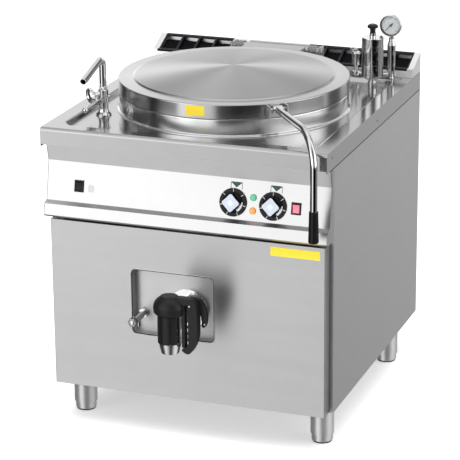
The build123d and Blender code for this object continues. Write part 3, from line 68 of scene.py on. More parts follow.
# Where the drain valve's upright axis crosses the drain line, and the middles of other fittings
VALVE = (0, -478, 370)
LEVEL_KNOB = (-131, -411.8, 342)
SAFETY_VALVE = (307, 324, 0)
GAUGE = (341, 380, 1006)
# The sloping switch panel: the middle of its row of controls, and the directions out of it and up it
CONTROLS = Vector((0, -348.4, 685.5))
PANEL_OUT = Vector((0, -0.98095, 0.19434))
PANEL_UP = Vector((0, 0.19434, 0.98095))
MODE_KNOB_X = 132.5
HEAT_KNOB_X = 242.5
# How far the camera stands round to the right of the kettle's front
CAMERA_TURN = radians(20.31)


# ---------------------------------------------------------------- nodes of a material
def add(tree, kind, sockets=None, **settings):
    """A node with its settings; a socket is given a value or the output that feeds it."""
    node = tree.nodes.new(kind)
    for key, value in settings.items():
        setattr(node, key, value)
    feed_all(tree, node, sockets or {})
    return node


def feed(tree, socket, value):
    if isinstance(value, bpy.types.NodeSocket):
        tree.links.new(value, socket)
    else:
        socket.default_value = value


def feed_all(tree, node, values):
    for name, value in values.items():
        feed(tree, node.inputs[name], value)


def maths(tree, operation, *values):
    node = tree.nodes.new("ShaderNodeMath")
    node.operation = operation
    for socket, value in zip(node.inputs, values):
        feed(tree, socket, value)
    return node.outputs[0]


def blend(tree, factor, low, high):
    """A colour between two others."""
    return add(tree, "ShaderNodeMix", {0: factor, 6: low, 7: high}, data_type="RGBA").outputs[2]


def mapped(tree, vector, **change):
    """A place moved by a Location or stretched by a Scale."""
    return add(tree, "ShaderNodeMapping", {"Vector": vector, **change}).outputs["Vector"]


def cross(tree, first, second):
    return add(tree, "ShaderNodeVectorMath", {0: first, 1: second}, operation="CROSS_PRODUCT").outputs["Vector"]


def relief_on(tree, shader, height, strength, depth):
    """A small relief of the surface, its depth in metres."""
    bump = add(tree, "ShaderNodeBump", {"Strength": strength, "Distance": depth, "Height": height})
    feed(tree, shader.inputs["Normal"], bump.outputs["Normal"])


def ramp(tree, factor, stops, easing="LINEAR"):
    node = add(tree, "ShaderNodeValToRGB", {"Fac": factor})
    node.color_ramp.interpolation = easing
    elements = node.color_ramp.elements
    while len(elements) < len(stops):
        elements.new(0.5)
    for element, (position, value) in zip(elements, sorted(stops)):
        element.position = position
        element.color = (value, value, value, 1)
    return node.outputs["Color"]


def spread(tree, centre, reach, mask):
    """A value that moves either side of its centre as a mask goes from 0 to 1."""
    return maths(tree, "MULTIPLY_ADD", mask, 2 * reach, centre - reach)


def grey(level, tint=(1, 1, 1)):
    return tuple(level * part for part in tint) + (1,)


# ---------------------------------------------------------------- effects that several materials share
def effect(name, inputs, outputs):
    """An empty shader group with named sockets, and its inner ends."""
    tree = bpy.data.node_groups.new(name, "ShaderNodeTree")
    for socket, kind, value in inputs:
        made = tree.interface.new_socket(socket, in_out="INPUT", socket_type="NodeSocket" + kind)
        if value is not None:
            made.default_value = value
    for socket in outputs:
        tree.interface.new_socket(socket, in_out="OUTPUT", socket_type="NodeSocketFloat")
    return tree, tree.nodes.new("NodeGroupInput").outputs, tree.nodes.new("NodeGroupOutput").inputs


def noise(tree, vector, scale, detail=2.0, distortion=0.0):
    return add(tree, "ShaderNodeTexNoise", {"Vector": vector, "Scale": scale, "Detail": detail,
                                            "Distortion": distortion}).outputs["Fac"]


def brushed_grain():
    """Fine hair lines along the sheet's X, with broader bands among them."""
    tree, given, wanted = effect("brushed_grain", [("Vector", "Vector", None), ("Fineness", "Float", 1.0)],
                                 ["Streak", "Height"])
    fine = noise(tree, given["Vector"], given["Fineness"], 3.0)
    band = noise(tree, mapped(tree, given["Vector"], Scale=(0.3, 0.035, 0.035)), given["Fineness"], 3.0)
    feed(tree, wanted["Streak"], maths(tree, "MULTIPLY_ADD", fine, 0.45, maths(tree, "MULTIPLY", band, 0.55)))
    feed(tree, wanted["Height"], fine)
    return tree


BROAD_RINGS = 46.0  # bands of rings to a metre


def turned_rings():
    """Rings about the Z axis, as a turning tool leaves them."""
    tree, given, wanted = effect("turned_rings", [("Vector", "Vector", None), ("Rings", "Float", 900.0)],
                                 ["Ring", "Height"])
    parts = add(tree, "ShaderNodeSeparateXYZ", {"Vector": given["Vector"]}).outputs
    square = maths(tree, "MULTIPLY_ADD", parts["X"], parts["X"], maths(tree, "MULTIPLY", parts["Y"], parts["Y"]))
    out = maths(tree, "MULTIPLY_ADD", parts["Z"], 0.9, maths(tree, "SQRT", square))
    fine, band = (add(tree, "ShaderNodeTexNoise", {"W": maths(tree, "MULTIPLY", out, rings), "Scale": 1.0,
                                                   "Detail": detail}, noise_dimensions="1D").outputs["Fac"]
                  for rings, detail in ((given["Rings"], 2.0), (BROAD_RINGS, 3.0)))
    feed(tree, wanted["Ring"], maths(tree, "MULTIPLY_ADD", fine, 0.4, maths(tree, "MULTIPLY", band, 0.6)))
    feed(tree, wanted["Height"], fine)
    return tree


def handling():
    """Soft clouds, and smaller smudges where hands and cloths have been."""
    tree, given, wanted = effect("handling", [("Vector", "Vector", None), ("Size", "Float", 1.0)],
                                 ["Cloud", "Smudge"])
    feed(tree, wanted["Cloud"], noise(tree, given["Vector"], maths(tree, "MULTIPLY", given["Size"], 4.0), 2.0))
    small = noise(tree, given["Vector"], maths(tree, "MULTIPLY", given["Size"], 21.0), 5.0, 0.6)
    feed(tree, wanted["Smudge"], ramp(tree, small, [(0.45, 0.0), (0.72, 1.0)], "EASE"))
    return tree


def moulded_skin():
    """The fine even texture of a moulded surface, with a faint change of tone."""
    tree, given, wanted = effect("moulded_skin", [("Vector", "Vector", None), ("Grain", "Float", 900.0)],
                                 ["Tone", "Height"])
    feed(tree, wanted["Tone"], noise(tree, given["Vector"], 35.0, 3.0))
    feed(tree, wanted["Height"], noise(tree, given["Vector"], given["Grain"], 2.0))
    return tree


EFFECTS = {made.name: made for made in (brushed_grain(), turned_rings(), handling(), moulded_skin())}


def use(tree, name, **values):
    return add(tree, "ShaderNodeGroup", values, node_tree=EFFECTS[name]).outputs


# ---------------------------------------------------------------- finishes
def new_finish(name):
    material = bpy.data.materials.new(name)
    material.use_nodes = True
    tree = material.node_tree
    return material, tree, tree.nodes["Principled BSDF"], add(tree, "ShaderNodeTexCoord").outputs["Object"]


def across_grain(tree, grain):
    """The direction in the surface and square to its hair lines, along which the gloss spreads."""
    in_world = add(tree, "ShaderNodeVectorTransform", {"Vector": grain}, vector_type="VECTOR",
                   convert_from="OBJECT", convert_to="WORLD").outputs["Vector"]
    return cross(tree, add(tree, "ShaderNodeNewGeometry").outputs["Normal"], in_world)


def bare_steel(name, tone, rough, marking, lines=0.05, cloud=0.03, relief=0.04, tint=(1, 1, 1.005), pull=0.7,
               metal=1.0):
    """Steel with marks in its colour, gloss and relief, that hands have dulled a little. The marking gives its
    marks, their height and the direction of its grain, and the pull says how far the grain draws out the gloss."""
    material, tree, shader, place = new_finish(name)
    marks, height, grain = marking(tree, place)
    hands = use(tree, "handling", Vector=place)
    light, dark = grey(min(tone * (1 + 2 * lines), 0.97), tint), grey(tone * (1 - 2 * lines), tint)
    smudged = maths(tree, "MULTIPLY", hands["Smudge"], 4 * cloud)
    feed_all(tree, shader, {
        "Base Color": blend(tree, smudged, blend(tree, marks, dark, light), grey(tone * 0.85, tint)),
        "Roughness": maths(tree, "ADD", spread(tree, rough, lines, marks), spread(tree, 0, cloud, hands["Cloud"])),
        "Metallic": metal, "Anisotropic": pull, "Tangent": across_grain(tree, grain)})
    relief_on(tree, shader, height, relief, 0.0004)
    return material


def steel(name, tone, rough, along=(1, 0, 0), **look):
    """Sheet steel ground along one direction."""
    def hair_lines(tree, place):
        hair = use(tree, "brushed_grain", Vector=mapped(tree, place, Scale=[7 if part else 900 for part in along]))
        # A little of every direction, so that no face lies square to the grain
        return hair["Streak"], hair["Height"], [part or 0.03 for part in along]
    return bare_steel(name, tone, rough, hair_lines, **look)


def turned_steel(name, tone, rough, **look):
    """Steel turned or ground in rings about the pan's axis."""
    def rings(tree, place):
        centred = mapped(tree, place, Location=(0, -MM * AXIS_Y, 0))
        marks = use(tree, "turned_rings", Vector=centred)
        return marks["Ring"], marks["Height"], cross(tree, (0, 0, 1), centred)
    return bare_steel(name, tone, rough, rings, **look)


def plated(name, tone=0.75, rough=0.09):
    """Polished chrome plate with faint polishing clouds."""
    material, tree, shader, place = new_finish(name)
    hands = use(tree, "handling", Vector=place, Size=3.0)
    feed_all(tree, shader, {"Base Color": blend(tree, hands["Cloud"], grey(tone * 0.95), grey(tone * 1.04)),
                            "Roughness": maths(tree, "MULTIPLY_ADD", hands["Smudge"], 0.1, rough),
                            "Metallic": 1.0})
    relief_on(tree, shader, hands["Cloud"], 0.05, 0.0006)
    return material


def moulding(name, colour, rough, grain=900.0, relief=0.15, variation=0.12, coat=0.0, shine=0.5):
    """Moulded plastic, rubber or paint."""
    material, tree, shader, place = new_finish(name)
    skin = use(tree, "moulded_skin", Vector=place, Grain=grain)
    hands = use(tree, "handling", Vector=place, Size=2.5)
    low = [part * (1 - variation) for part in colour] + [1]
    high = [min(part * (1 + variation), 1) for part in colour] + [1]
    smudged = maths(tree, "MULTIPLY", hands["Smudge"], 0.05)
    feed_all(tree, shader, {"Base Color": blend(tree, skin["Tone"], low, high),
                            "Roughness": maths(tree, "ADD", spread(tree, rough, 0.06, hands["Cloud"]), smudged),
                            "Specular IOR Level": shine, "Coat Weight": coat, "Coat Roughness": 0.1})
    relief_on(tree, shader, skin["Height"], relief, 0.0001)
    return material


def glowing(name, colour, glow=0.15):
    """A tinted lamp lens or a lit rocker, a little light inside it."""
    material = moulding(name, colour, 0.15, relief=0.04, variation=0.06, coat=0.5)
    shader = material.node_tree.nodes["Principled BSDF"]
    feed_all(material.node_tree, shader, {"Emission Color": (*colour, 1), "Emission Strength": glow})
    return material


def clear_glass():
    material, tree, shader, place = new_finish("dial_glass")
    hands = use(tree, "handling", Vector=place, Size=4.0)
    feed_all(tree, shader, {"Roughness": maths(tree, "MULTIPLY_ADD", hands["Smudge"], 0.03, 0.01),
                            "Base Color": (0.96, 0.98, 0.99, 1), "Transmission Weight": 1.0, "IOR": 1.08})
    return material


FINISH = {
    "satin_steel": steel("satin_steel", 0.47, 0.34),
    "side_steel": steel("side_steel", 0.54, 0.40, along=(0, 1, 0)),
    # A much paler copy of the satin steel, which paints the bright reflection that the rear upstand shows.
    "upstand_painted_bright_steel": steel("upstand_painted_bright_steel", 0.93, 0.30),
    "worktop_steel": steel("worktop_steel", 0.42, 0.165, lines=0.02, relief=0.02, pull=0.5),
    "collar_steel": turned_steel("collar_steel", 0.80, 0.16, lines=0.03, relief=0.0),
    "lid_steel": turned_steel("lid_steel", 0.47, 0.20, lines=0.04, relief=0.0, pull=0.85),
    "disc_steel": turned_steel("disc_steel", 0.46, 0.33, lines=0.03, relief=0.0, pull=0.93),
    "pan_steel": turned_steel("pan_steel", 0.62, 0.3),
    "console_steel": steel("console_steel", 0.60, 0.30, lines=0.03),
    "frame_steel": steel("frame_steel", 0.55, 0.38),
    "lagging": moulding("lagging", (0.42, 0.40, 0.36), 0.9, grain=220.0, relief=0.8, variation=0.2),
    "heater_steel": steel("heater_steel", 0.42, 0.4, tint=(1, 0.97, 0.92)),
    "inlet_brass": steel("inlet_brass", 0.7, 0.3, tint=(1, 0.83, 0.52)),
    "seal_rubber": moulding("seal_rubber", (0.45, 0.45, 0.44), 0.6),
    "spring_steel": steel("spring_steel", 0.5, 0.25),
    "handle_chrome": plated("handle_chrome", 0.72, 0.05),
    "grip_black": moulding("grip_black", (0.006, 0.006, 0.006), 0.25, shine=0.22),
    "fittings_chrome": plated("fittings_chrome"),
    "valve_knob_black": moulding("valve_knob_black", (0.010, 0.009, 0.008), 0.35, shine=0.25),
    "needle_black": moulding("needle_black", (0.03, 0.03, 0.035), 0.4),
    "dial_glass": clear_glass(),
    "dial_white": moulding("dial_white", (0.74, 0.74, 0.74), 0.5, variation=0.03),
    "valve_black": moulding("valve_black", (0.010, 0.010, 0.011), 0.38, grain=700.0, relief=0.25, shine=0.25),
    "plug_steel": steel("plug_steel", 0.6, 0.25),
    "lamp_plastic": moulding("lamp_plastic", (0.5, 0.5, 0.5), 0.3),
    "lamp_green": glowing("lamp_green", (0.10, 0.46, 0.27)),
    "lamp_orange": glowing("lamp_orange", (0.88, 0.32, 0.08)),
    "switch_black": moulding("switch_black", (0.010, 0.009, 0.008), 0.35, shine=0.22),
    "rocker_red": glowing("rocker_red", (0.74, 0.17, 0.25), glow=0.22),
    "knob_black": moulding("knob_black", (0.006, 0.006, 0.007), 0.3, shine=0.22),
    "knob_grey": moulding("knob_grey", (0.54, 0.585, 0.68), 0.35, variation=0.04),
    # A paler copy of the knob's grey, which paints the light on the knob cap's flat top.
    "knob_painted_lit_top": moulding("knob_painted_lit_top", (0.66, 0.74, 0.86), 0.3, variation=0.03),
    # White for the printed ticks, and for an arc that paints a highlight on the knob's ring.
    "print_and_highlight_white": moulding("print_and_highlight_white", (0.85, 0.85, 0.85), 0.5, variation=0.04),
    "printed_green": moulding("printed_green", (0.02, 0.08, 0.06), 0.5, variation=0.2),
    "printed_grey": moulding("printed_grey", (0.62, 0.62, 0.62), 0.45, variation=0.04),
    "sticker_yellow": moulding("sticker_yellow", (0.90, 0.68, 0.02), 0.4, grain=300.0, relief=0.1, variation=0.05),
    "pad_rubber": moulding("pad_rubber", (0.015, 0.013, 0.013), 0.6, shine=0.25),
    "grille_black": moulding("grille_black", (0.008, 0.008, 0.009), 0.42, grain=500.0, shine=0.15),
    "foot_steel": steel("foot_steel", 0.64, 0.40, metal=0.76),
    "recess_steel": steel("recess_steel", 0.58, 0.46, lines=0.03),
    # A brighter copy of the chrome, which paints the light on the drain valve's body.
    "spout_painted_bright_chrome": plated("spout_painted_bright_chrome", 0.85, 0.2),
    # A darker copy of the chrome, which paints the dark reflection on the level tap's knob.
    "level_painted_dark_chrome": plated("level_painted_dark_chrome", 0.34, 0.07),
    # A flat matt black that paints the shade deep inside the flues.
    "flue_shade_black": moulding("flue_shade_black", (0.004, 0.004, 0.005), 0.7, grain=300.0, shine=0.05),
}


# ---------------------------------------------------------------- making pieces
def place_at(origin, out=(0, 0, 1), right=(1, 0, 0)):
    """The matrix that stands a shape drawn along Z at an origin, pointing out, its X as near right as can be."""
    z = Vector(out).normalized()
    x = (Vector(right) - z * Vector(right).dot(z)).normalized()
    turn = Matrix((x, z.cross(x), z)).transposed().to_4x4()
    return Matrix.Translation(Vector(origin)) @ turn


def bevel(bm, chosen, width, segments, affect="EDGES"):
    bmesh.ops.bevel(bm, geom=chosen, offset=width, offset_type="OFFSET", segments=segments, profile=0.5,
                    affect=affect, clamp_overlap=affect == "EDGES", material=-1)


def round_corners(bm, verts, points, otherwise=0.0):
    """Rounds wire or face corners, each by the set-back that its point gives third."""
    setbacks = [(vert, point[2] if len(point) > 2 else otherwise) for vert, point in zip(verts, points)]
    for width in sorted({setback for vert, setback in setbacks if setback}):
        bevel(bm, [vert for vert, setback in setbacks if setback == width and vert.is_valid], width, 4, "VERTICES")


def moved(bm, place):
    bmesh.ops.transform(bm, matrix=place or Matrix.Identity(4), verts=bm.verts)
    return bm


def lathe(profile, steps=64, place=None, angle=2 * pi):
    """Turns a profile of (radius, height, corner rounding) about Z; one that starts off the axis is closed."""
    bm = bmesh.new()
    verts = [bm.verts.new((point[0], 0, point[1])) for point in profile]
    for pair in zip(verts, verts[1:]):
        bm.edges.new(pair)
    if profile[0][0] > 0 and profile[-1][0] > 0:
        bm.edges.new((verts[-1], verts[0]))
    round_corners(bm, verts, profile)
    whole = abs(angle - 2 * pi) < 1e-6
    if not whole:
        bmesh.ops.contextual_create(bm, geom=bm.edges[:])
    bmesh.ops.spin(bm, geom=bm.verts[:] + bm.edges[:] + bm.faces[:], cent=(0, 0, 0), axis=(0, 0, 1),
                   dvec=(0, 0, 0), angle=angle, steps=steps, use_merge=whole)
    bmesh.ops.remove_doubles(bm, verts=bm.verts, dist=1e-3)
    bmesh.ops.recalc_face_normals(bm, faces=bm.faces)
    return moved(bm, place)


def prism(points, depth, place=None, corner=0.0, edge=0.0, segments=3):
    """A flat outline raised along Z, with its corners and then its top edges rounded. A point may say its own
    corner's set-back."""
    bm = bmesh.new()
    bm.faces.new([bm.verts.new((point[0], point[1], 0)) for point in points])
    round_corners(bm, bm.verts[:], points, corner)
    raised = bmesh.ops.extrude_face_region(bm, geom=bm.faces[:])["geom"]
    bmesh.ops.translate(bm, vec=(0, 0, depth), verts=[v for v in raised if isinstance(v, bmesh.types.BMVert)])
    bmesh.ops.recalc_face_normals(bm, faces=bm.faces)
    if edge:
        bevel(bm, [e for e in bm.edges if all(abs(v.co.z - depth) < 1e-6 for v in e.verts)], edge, segments)
    return moved(bm, place)


def turned(angle):
    """A turn about Z, in degrees."""
    return Matrix.Rotation(radians(angle), 4, "Z")


def rectangle(width, height, x=0.0, y=0.0):
    w, h = width / 2, height / 2
    return [(x - w, y - h), (x + w, y - h), (x + w, y + h), (x - w, y + h)]


def join(parts):
    """Several shapes as one."""
    whole = parts[0]
    for part in parts[1:]:
        copy = bpy.data.meshes.new("part")
        part.to_mesh(copy)
        part.free()
        whole.from_mesh(copy)
        bpy.data.meshes.remove(copy)
    return whole


def mesh_from(bm, name, material):
    mesh = bpy.data.meshes.new(name)
    bm.to_mesh(mesh)
    bm.free()
    mesh.materials.append(material)
    return mesh


def in_scene(name, data):
    made = bpy.data.objects.new(name, data)
    bpy.context.scene.collection.objects.link(made)
    return made


SHARP_FROM = radians(32)


def finish_piece(name, bm, body, slot, material=None, replaced=(), weighted=True):
    """A named piece from a shape drawn in millimetres. It rides on its body, and takes its slot's finish unless
    another is given.
    """
    bmesh.ops.scale(bm, vec=(MM, MM, MM), verts=bm.verts)
    mesh = mesh_from(bm, name, FINISH[material or slot])
    for polygon in mesh.polygons:
        polygon.use_smooth = True
    mesh.set_sharp_from_angle(angle=SHARP_FROM)
    made = in_scene(name, mesh)
    if weighted:
        made.modifiers.new("even_normals", "WEIGHTED_NORMAL").keep_sharp = True
    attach(made, body)
    if replaced:
        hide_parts(*replaced)


def merged_copy(node):
    """A CAD node's mesh in millimetres, with its corners joined and its flat faces whole."""
    bm = bmesh.new()
    bm.from_mesh(NODES[node].data)
    bmesh.ops.scale(bm, vec=(1 / MM, 1 / MM, 1 / MM), verts=bm.verts)
    bmesh.ops.remove_doubles(bm, verts=bm.verts, dist=2e-3)
    bmesh.ops.dissolve_limit(bm, angle_limit=radians(0.6), verts=bm.verts, edges=bm.edges, delimit=set())
    return bm


def round_edges(bm, width, segments=3, angle=28, chosen=None):
    """Rounds the edges sharper than an angle, or those whose middle passes a test."""
    sharp = [e for e in bm.edges if len(e.link_faces) == 2 and e.calc_face_angle() > radians(angle)
             and (chosen is None or chosen((e.verts[0].co + e.verts[1].co) / 2))]
    bevel(bm, sharp, width, segments)


def softened(node, width, material=None, segments=2, angle=28):
    """A CAD node's shape with its edges rounded, standing for the node."""
    bm = merged_copy(node)
    round_edges(bm, width, segments, angle)
    finish_piece(node + "_finished", bm, BODY_OF[node], SLOT_OF[node], material, [node])


# ---------------------------------------------------------------- camera, stage and light
def set_camera():
    """A long lens, above the kettle and to the right of its front."""
    aim = Vector((-30.92, 67.0, 457.83)) * MM
    place = Vector((2038.18, -5523.51, 2476.72)) * MM
    data = bpy.data.cameras.new("camera")
    data.lens, data.sensor_width, data.clip_end = 173.81, 36.0, 100.0
    camera = in_scene("camera", data)
    turn = (aim - place).to_track_quat("-Z", "Y").to_matrix().to_4x4()
    roll = -0.53
    camera.matrix_world = Matrix.Translation(place) @ turn @ turned(roll)
    bpy.context.scene.camera = camera


def set_floor():
    """A wide sheet of white paper."""
    material, tree, shader, place = new_finish("floor_paper")
    feed_all(tree, shader, {"Base Color": blend(tree, noise(tree, place, 3.0), grey(0.90), grey(0.92)),
                            "Roughness": 0.95, "Specular IOR Level": 0.0,
                            "Emission Color": (1, 1, 1, 1), "Emission Strength": 0.42})
    bm = bmesh.new()
    bmesh.ops.create_grid(bm, x_segments=1, y_segments=1, size=40)
    floor = in_scene("floor", mesh_from(bm, "floor", material))
    floor.visible_glossy = False
    floor.visible_shadow = False


# The studio's walls: degrees to the right of the camera as seen from above, and their brightness there
WALLS = [(-180, 0.80), (-172, 0.92), (-160, 0.7), (-152, 0.4), (-146, 0.06), (-82, 0.05), (-70, 0.95), (-60, 1.4),
         (-47, 1.32), (-38, 0.98), (-24, 0.95), (-14, 0.3), (0, 0.08), (26, 0.1), (44, 0.95), (66, 1.4), (92, 1.3),
         (108, 0.12), (126, 0.14), (134, 0.62), (150, 0.68), (165, 0.56), (174, 0.62), (180, 0.80)]
# How that changes with height: degrees above the kettle, and what the brightness is multiplied by
HEIGHTS = [(-90, 0.45), (-50, 0.53), (-25, 0.92), (-14, 1.1), (-4, 1.75), (12, 1.75), (24, 1.0), (60, 1.1), (90, 1.1)]
# Dark screens low in front of the walls: degrees to the right of the camera, and how much light they let through
SCREENS = [(-180, 1.0), (-99, 1.0), (-97, 0.02), (-60, 0.02), (-55, 1.0), (-20, 1.0), (-16, 0.03), (10, 0.01),
           (58, 0.01), (64, 0.16), (98, 0.16), (100, 1.0), (130, 1.0), (136, 0.85), (158, 0.85), (164, 1.0),
           (180, 1.0)]
# Where the screens stand: degrees above the kettle, and how much of a screen is there
SCREEN_HEIGHTS = [(-34, 0.0), (-29, 1.0), (-11, 1.0), (-7, 0.0)]
# Towards the ceiling the walls give way to one even grey: degrees above the kettle, and the grey's share
CEILING_HEIGHTS = [(39.6, 0.0), (72, 1.0)]
STUDIO_STRENGTH = 4.0


def set_world():
    """Soft white walls with darker gaps between them. The camera itself sees plain white."""
    world = bpy.data.worlds.new("studio")
    bpy.context.scene.world = world
    world.use_nodes = True
    tree = world.node_tree
    parts = add(tree, "ShaderNodeSeparateXYZ",
                {"Vector": add(tree, "ShaderNodeTexCoord").outputs["Generated"]}).outputs
    turn = maths(tree, "ARCTAN2", parts["X"], maths(tree, "MULTIPLY", parts["Y"], -1.0))
    turn = maths(tree, "WRAP", maths(tree, "SUBTRACT", turn, CAMERA_TURN), pi, -pi)
    turn = maths(tree, "MULTIPLY_ADD", turn, 0.5 / pi, 0.5)
    rise = maths(tree, "MULTIPLY_ADD", maths(tree, "ARCSINE", parts["Z"]), 1 / pi, 0.5)
    # The ramps hold half of each value, since some are above 1
    walls, screens = (ramp(tree, turn, [((angle + 180) / 360, value / 2) for angle, value in stops])
                      for stops in (WALLS, SCREENS))
    heights, low = (ramp(tree, rise, [((angle + 90) / 180, value / 2) for angle, value in stops])
                    for stops in (HEIGHTS, SCREEN_HEIGHTS))
    ceiling = ramp(tree, rise, [((angle + 90) / 180, value) for angle, value in CEILING_HEIGHTS])
    light = maths(tree, "MULTIPLY", blend(tree, ceiling, walls, grey(0.5)), heights)
    held_back = maths(tree, "MULTIPLY", maths(tree, "MULTIPLY", low, 2.0),
                      maths(tree, "SUBTRACT", 1.0, maths(tree, "MULTIPLY", screens, 2.0)))
    light = maths(tree, "MULTIPLY", light, maths(tree, "SUBTRACT", 1.0, held_back))
    around = tree.nodes["Background"]
    feed_all(tree, around, {"Color": light, "Strength": STUDIO_STRENGTH})
    plain = add(tree, "ShaderNodeBackground", {"Color": (1, 1, 1, 1), "Strength": 1.0})
    either = add(tree, "ShaderNodeMixShader", {0: add(tree, "ShaderNodeLightPath").outputs["Is Camera Ray"]})
    tree.links.new(around.outputs[0], either.inputs[1])
    tree.links.new(plain.outputs[0], either.inputs[2])
    tree.links.new(either.outputs[0], tree.nodes["World Output"].inputs["Surface"])


def set_lights():
    """One wide soft light overhead, seen only by its glow on matt surfaces and its soft shadows."""
    data = bpy.data.lights.new("overhead", "AREA")
    data.shape, data.size, data.energy = "DISK", 5.0, 160.0
    lamp = in_scene("overhead", data)
    lamp.location = (0.4, -0.8, 4.2)
    lamp.visible_glossy = False
    lamp.visible_camera = False


# ---------------------------------------------------------------- cabinet
def worktop():
    """The sunken top, with its pressed slopes well rounded and its folded edges crisp."""
    near, rim_x, rim_front, rim_back, hole_r = 0.5, 356, -339, 378, 310

    def upper_fold(middle):
        return abs(middle.z - TOP_Z) < near and abs(middle.x) < rim_x and rim_front < middle.y < rim_back

    def lower_fold(middle):
        return abs(middle.z - SUNK_Z) < near and hypot(middle.x, middle.y - AXIS_Y) > hole_r

    bm = merged_copy("worktop")
    for fold in (upper_fold, lower_fold):
        round_edges(bm, 8.0, 6, 20, fold)
    round_edges(bm, 0.8, 2, 60)
    finish_piece("worktop_finished", bm, "kettle", "worktop_steel", replaced=["worktop"])


# Where the plugs sit: in each side skirt by Y and Z, and behind them in the worktop's rim by X and Y
SKIRT_PLUGS = ((-339.0, 829.8), (65.3, 818.4))
RIM_PLUG = (371, 390.3)
# The back panel's screws: how far from its middle, and their heights
BACK_SCREW_X = 370.5
BACK_SCREWS_Z = (135, 300, 465, 630, 780)


def plugs():
    """Small dark plugs in the worktop's skirts and rim."""
    plug = [(0, -1), (3.4, -1), (3.4, 0.2, 0.15), (2.0, 0.2), (1.7, -0.1), (0, -0.1)]
    made = [lathe(plug, 20, place_at((side * HALF_W, y, z), (side, 0, 0), (0, 1, 0)))
            for side in (-1, 1) for y, z in SKIRT_PLUGS]
    made += [lathe(plug, 20, place_at((side * RIM_PLUG[0], RIM_PLUG[1], TOP_Z))) for side in (-1, 1)]
    finish_piece("skirt_plugs", join(made), "kettle", "switch_black")


def on_back(x, z, out=0.0):
    return place_at((x, CABINET_BACK + out, z), (0, 1, 0), (1, 0, 0))


def back_screws():
    """The domed screws that hold the back panel."""
    head = [(0, -0.5), (4.2, -0.5), (4.2, 0.5, 0.3), (3.4, 1.5, 0.8), (0, 2.0)]
    heads = [lathe(head, 20, on_back(side * BACK_SCREW_X, z)) for side in (-1, 1) for z in BACK_SCREWS_Z]
    finish_piece("back_panel_screws", join(heads), "kettle", "plug_steel")


def back_louvres():
    """Three columns of six pressed air slots in the back panel."""
    half, height, corner = 60, 9, 4
    lowest, pitch, rows = 560, 22, 6
    bar = [(-half, 0, corner), (half, 0, corner), (half, height, corner), (-half, height, corner)]
    slots = [prism(bar, 2.4, on_back(x, lowest + pitch * row, -0.4), edge=2.0)
             for x in (-180, 0, 180) for row in range(rows)]
    finish_piece("back_louvres", join(slots), "kettle", "satin_steel")


def door_sticker():
    """A blank yellow sticker at the door's top right."""
    width, height, thick = 136, 24.6, 0.25
    at = place_at((306.8, DOOR_Y - 0.02, 566.4), (0, -1, 0))
    label = prism(rectangle(width, height), thick, at, corner=1.5)
    finish_piece("door_sticker", label, "kettle", "knob_grey", "sticker_yellow", weighted=False)


def framing(left, right, low, high, corner, section):
    """A closed rounded frame round an opening; its section gives (distance outward, height) points."""
    bm = bmesh.new()
    rings = []
    centres = [(right - corner, high - corner), (left + corner, high - corner), (left + corner, low + corner),
               (right - corner, low + corner)]
    steps = 8
    for quarter, (x, y) in enumerate(centres):
        for step in range(steps + 1):
            angle = radians(90 * quarter + 90 * step / steps)
            rings.append([bm.verts.new((x + (corner + out) * cos(angle), y + (corner + out) * sin(angle), height))
                          for out, height in section])
    for ring, after in zip(rings, rings[1:] + rings[:1]):
        for index in range(len(section)):
            other = (index + 1) % len(section)
            bm.faces.new((ring[index], ring[other], after[other], after[index]))
    bmesh.ops.recalc_face_normals(bm, faces=bm.faces)
    return bm


def recess_edge():
    """A rolled steel bead round the drain opening in the door, with a black strip inside it that paints the shade
    line at the opening's edge.
    """
    bead = [(-0.1, -1.6), (-0.1, 0.05), (0.5, 0.5), (1.2, 0.5), (1.8, 0.0), (1.8, -0.4)]
    shade_line = [(-1.9, -2.6), (-1.9, -0.7), (-0.1, -0.7), (-0.1, -2.6)]
    for name, section, material in (("recess_bead", bead, "plug_steel"), ("recess_shade_line", shade_line, "switch_black")):
        frame_round = moved(framing(*DRAIN_OPENING, section), place_at((0, DOOR_Y, 0), (0, -1, 0)))
        finish_piece(name, frame_round, "kettle", "satin_steel", material, weighted=False)


def skirt_gap_shadows():
    """Black strips along the lower edges of the worktop's skirts, which paint the shadow in the gaps above the side
    panels.
    """
    length, height, middle_y, sunk = 856, 2.8, 68.0, 0.1
    painted_shadow_strips = [prism(rectangle(length, height, side * middle_y, SKIRT_Z - 0.8), 0.3,
                  place_at((side * (HALF_W - sunk), 0, 0), (side, 0, 0), (0, side, 0))) for side in (-1, 1)]
    finish_piece("skirt_gap_shadows", join(painted_shadow_strips), "kettle", "switch_black", weighted=False)


# Each flue grille's left and right limits, and the bars between its cells
GRILLES = [(-381, -172, (-331.5, -279.0, -226.5)), (67, 381, (116.5, 169.0, 221.5, 274.0, 326.5))]


def grille_throats():
    """The throats of the flues under their grilles, a wall under each bar, in a matt black that paints the shade deep
    inside the flues. The outlines are in Y and Z.
    """
    floor = [(414.6, 852.3), (414.6, 863.0), (424.0, 863.0), (494.6, 886.0), (494.6, 852.3)]
    wall = [(424.0, 862.0), (424.0, 866.5), (494.6, 898.0), (494.6, 885.0)]
    throats = []
    for left, right, bars in GRILLES:
        for outline, thick, x in [(floor, right - left, left)] + [(wall, 5, bar) for bar in bars]:
            throats.append(prism(outline, thick, place_at((x, 0, 0), (1, 0, 0), (0, 1, 0))))
    finish_piece("grille_throats", join(throats), "kettle", "grille_black", "flue_shade_black", weighted=False)


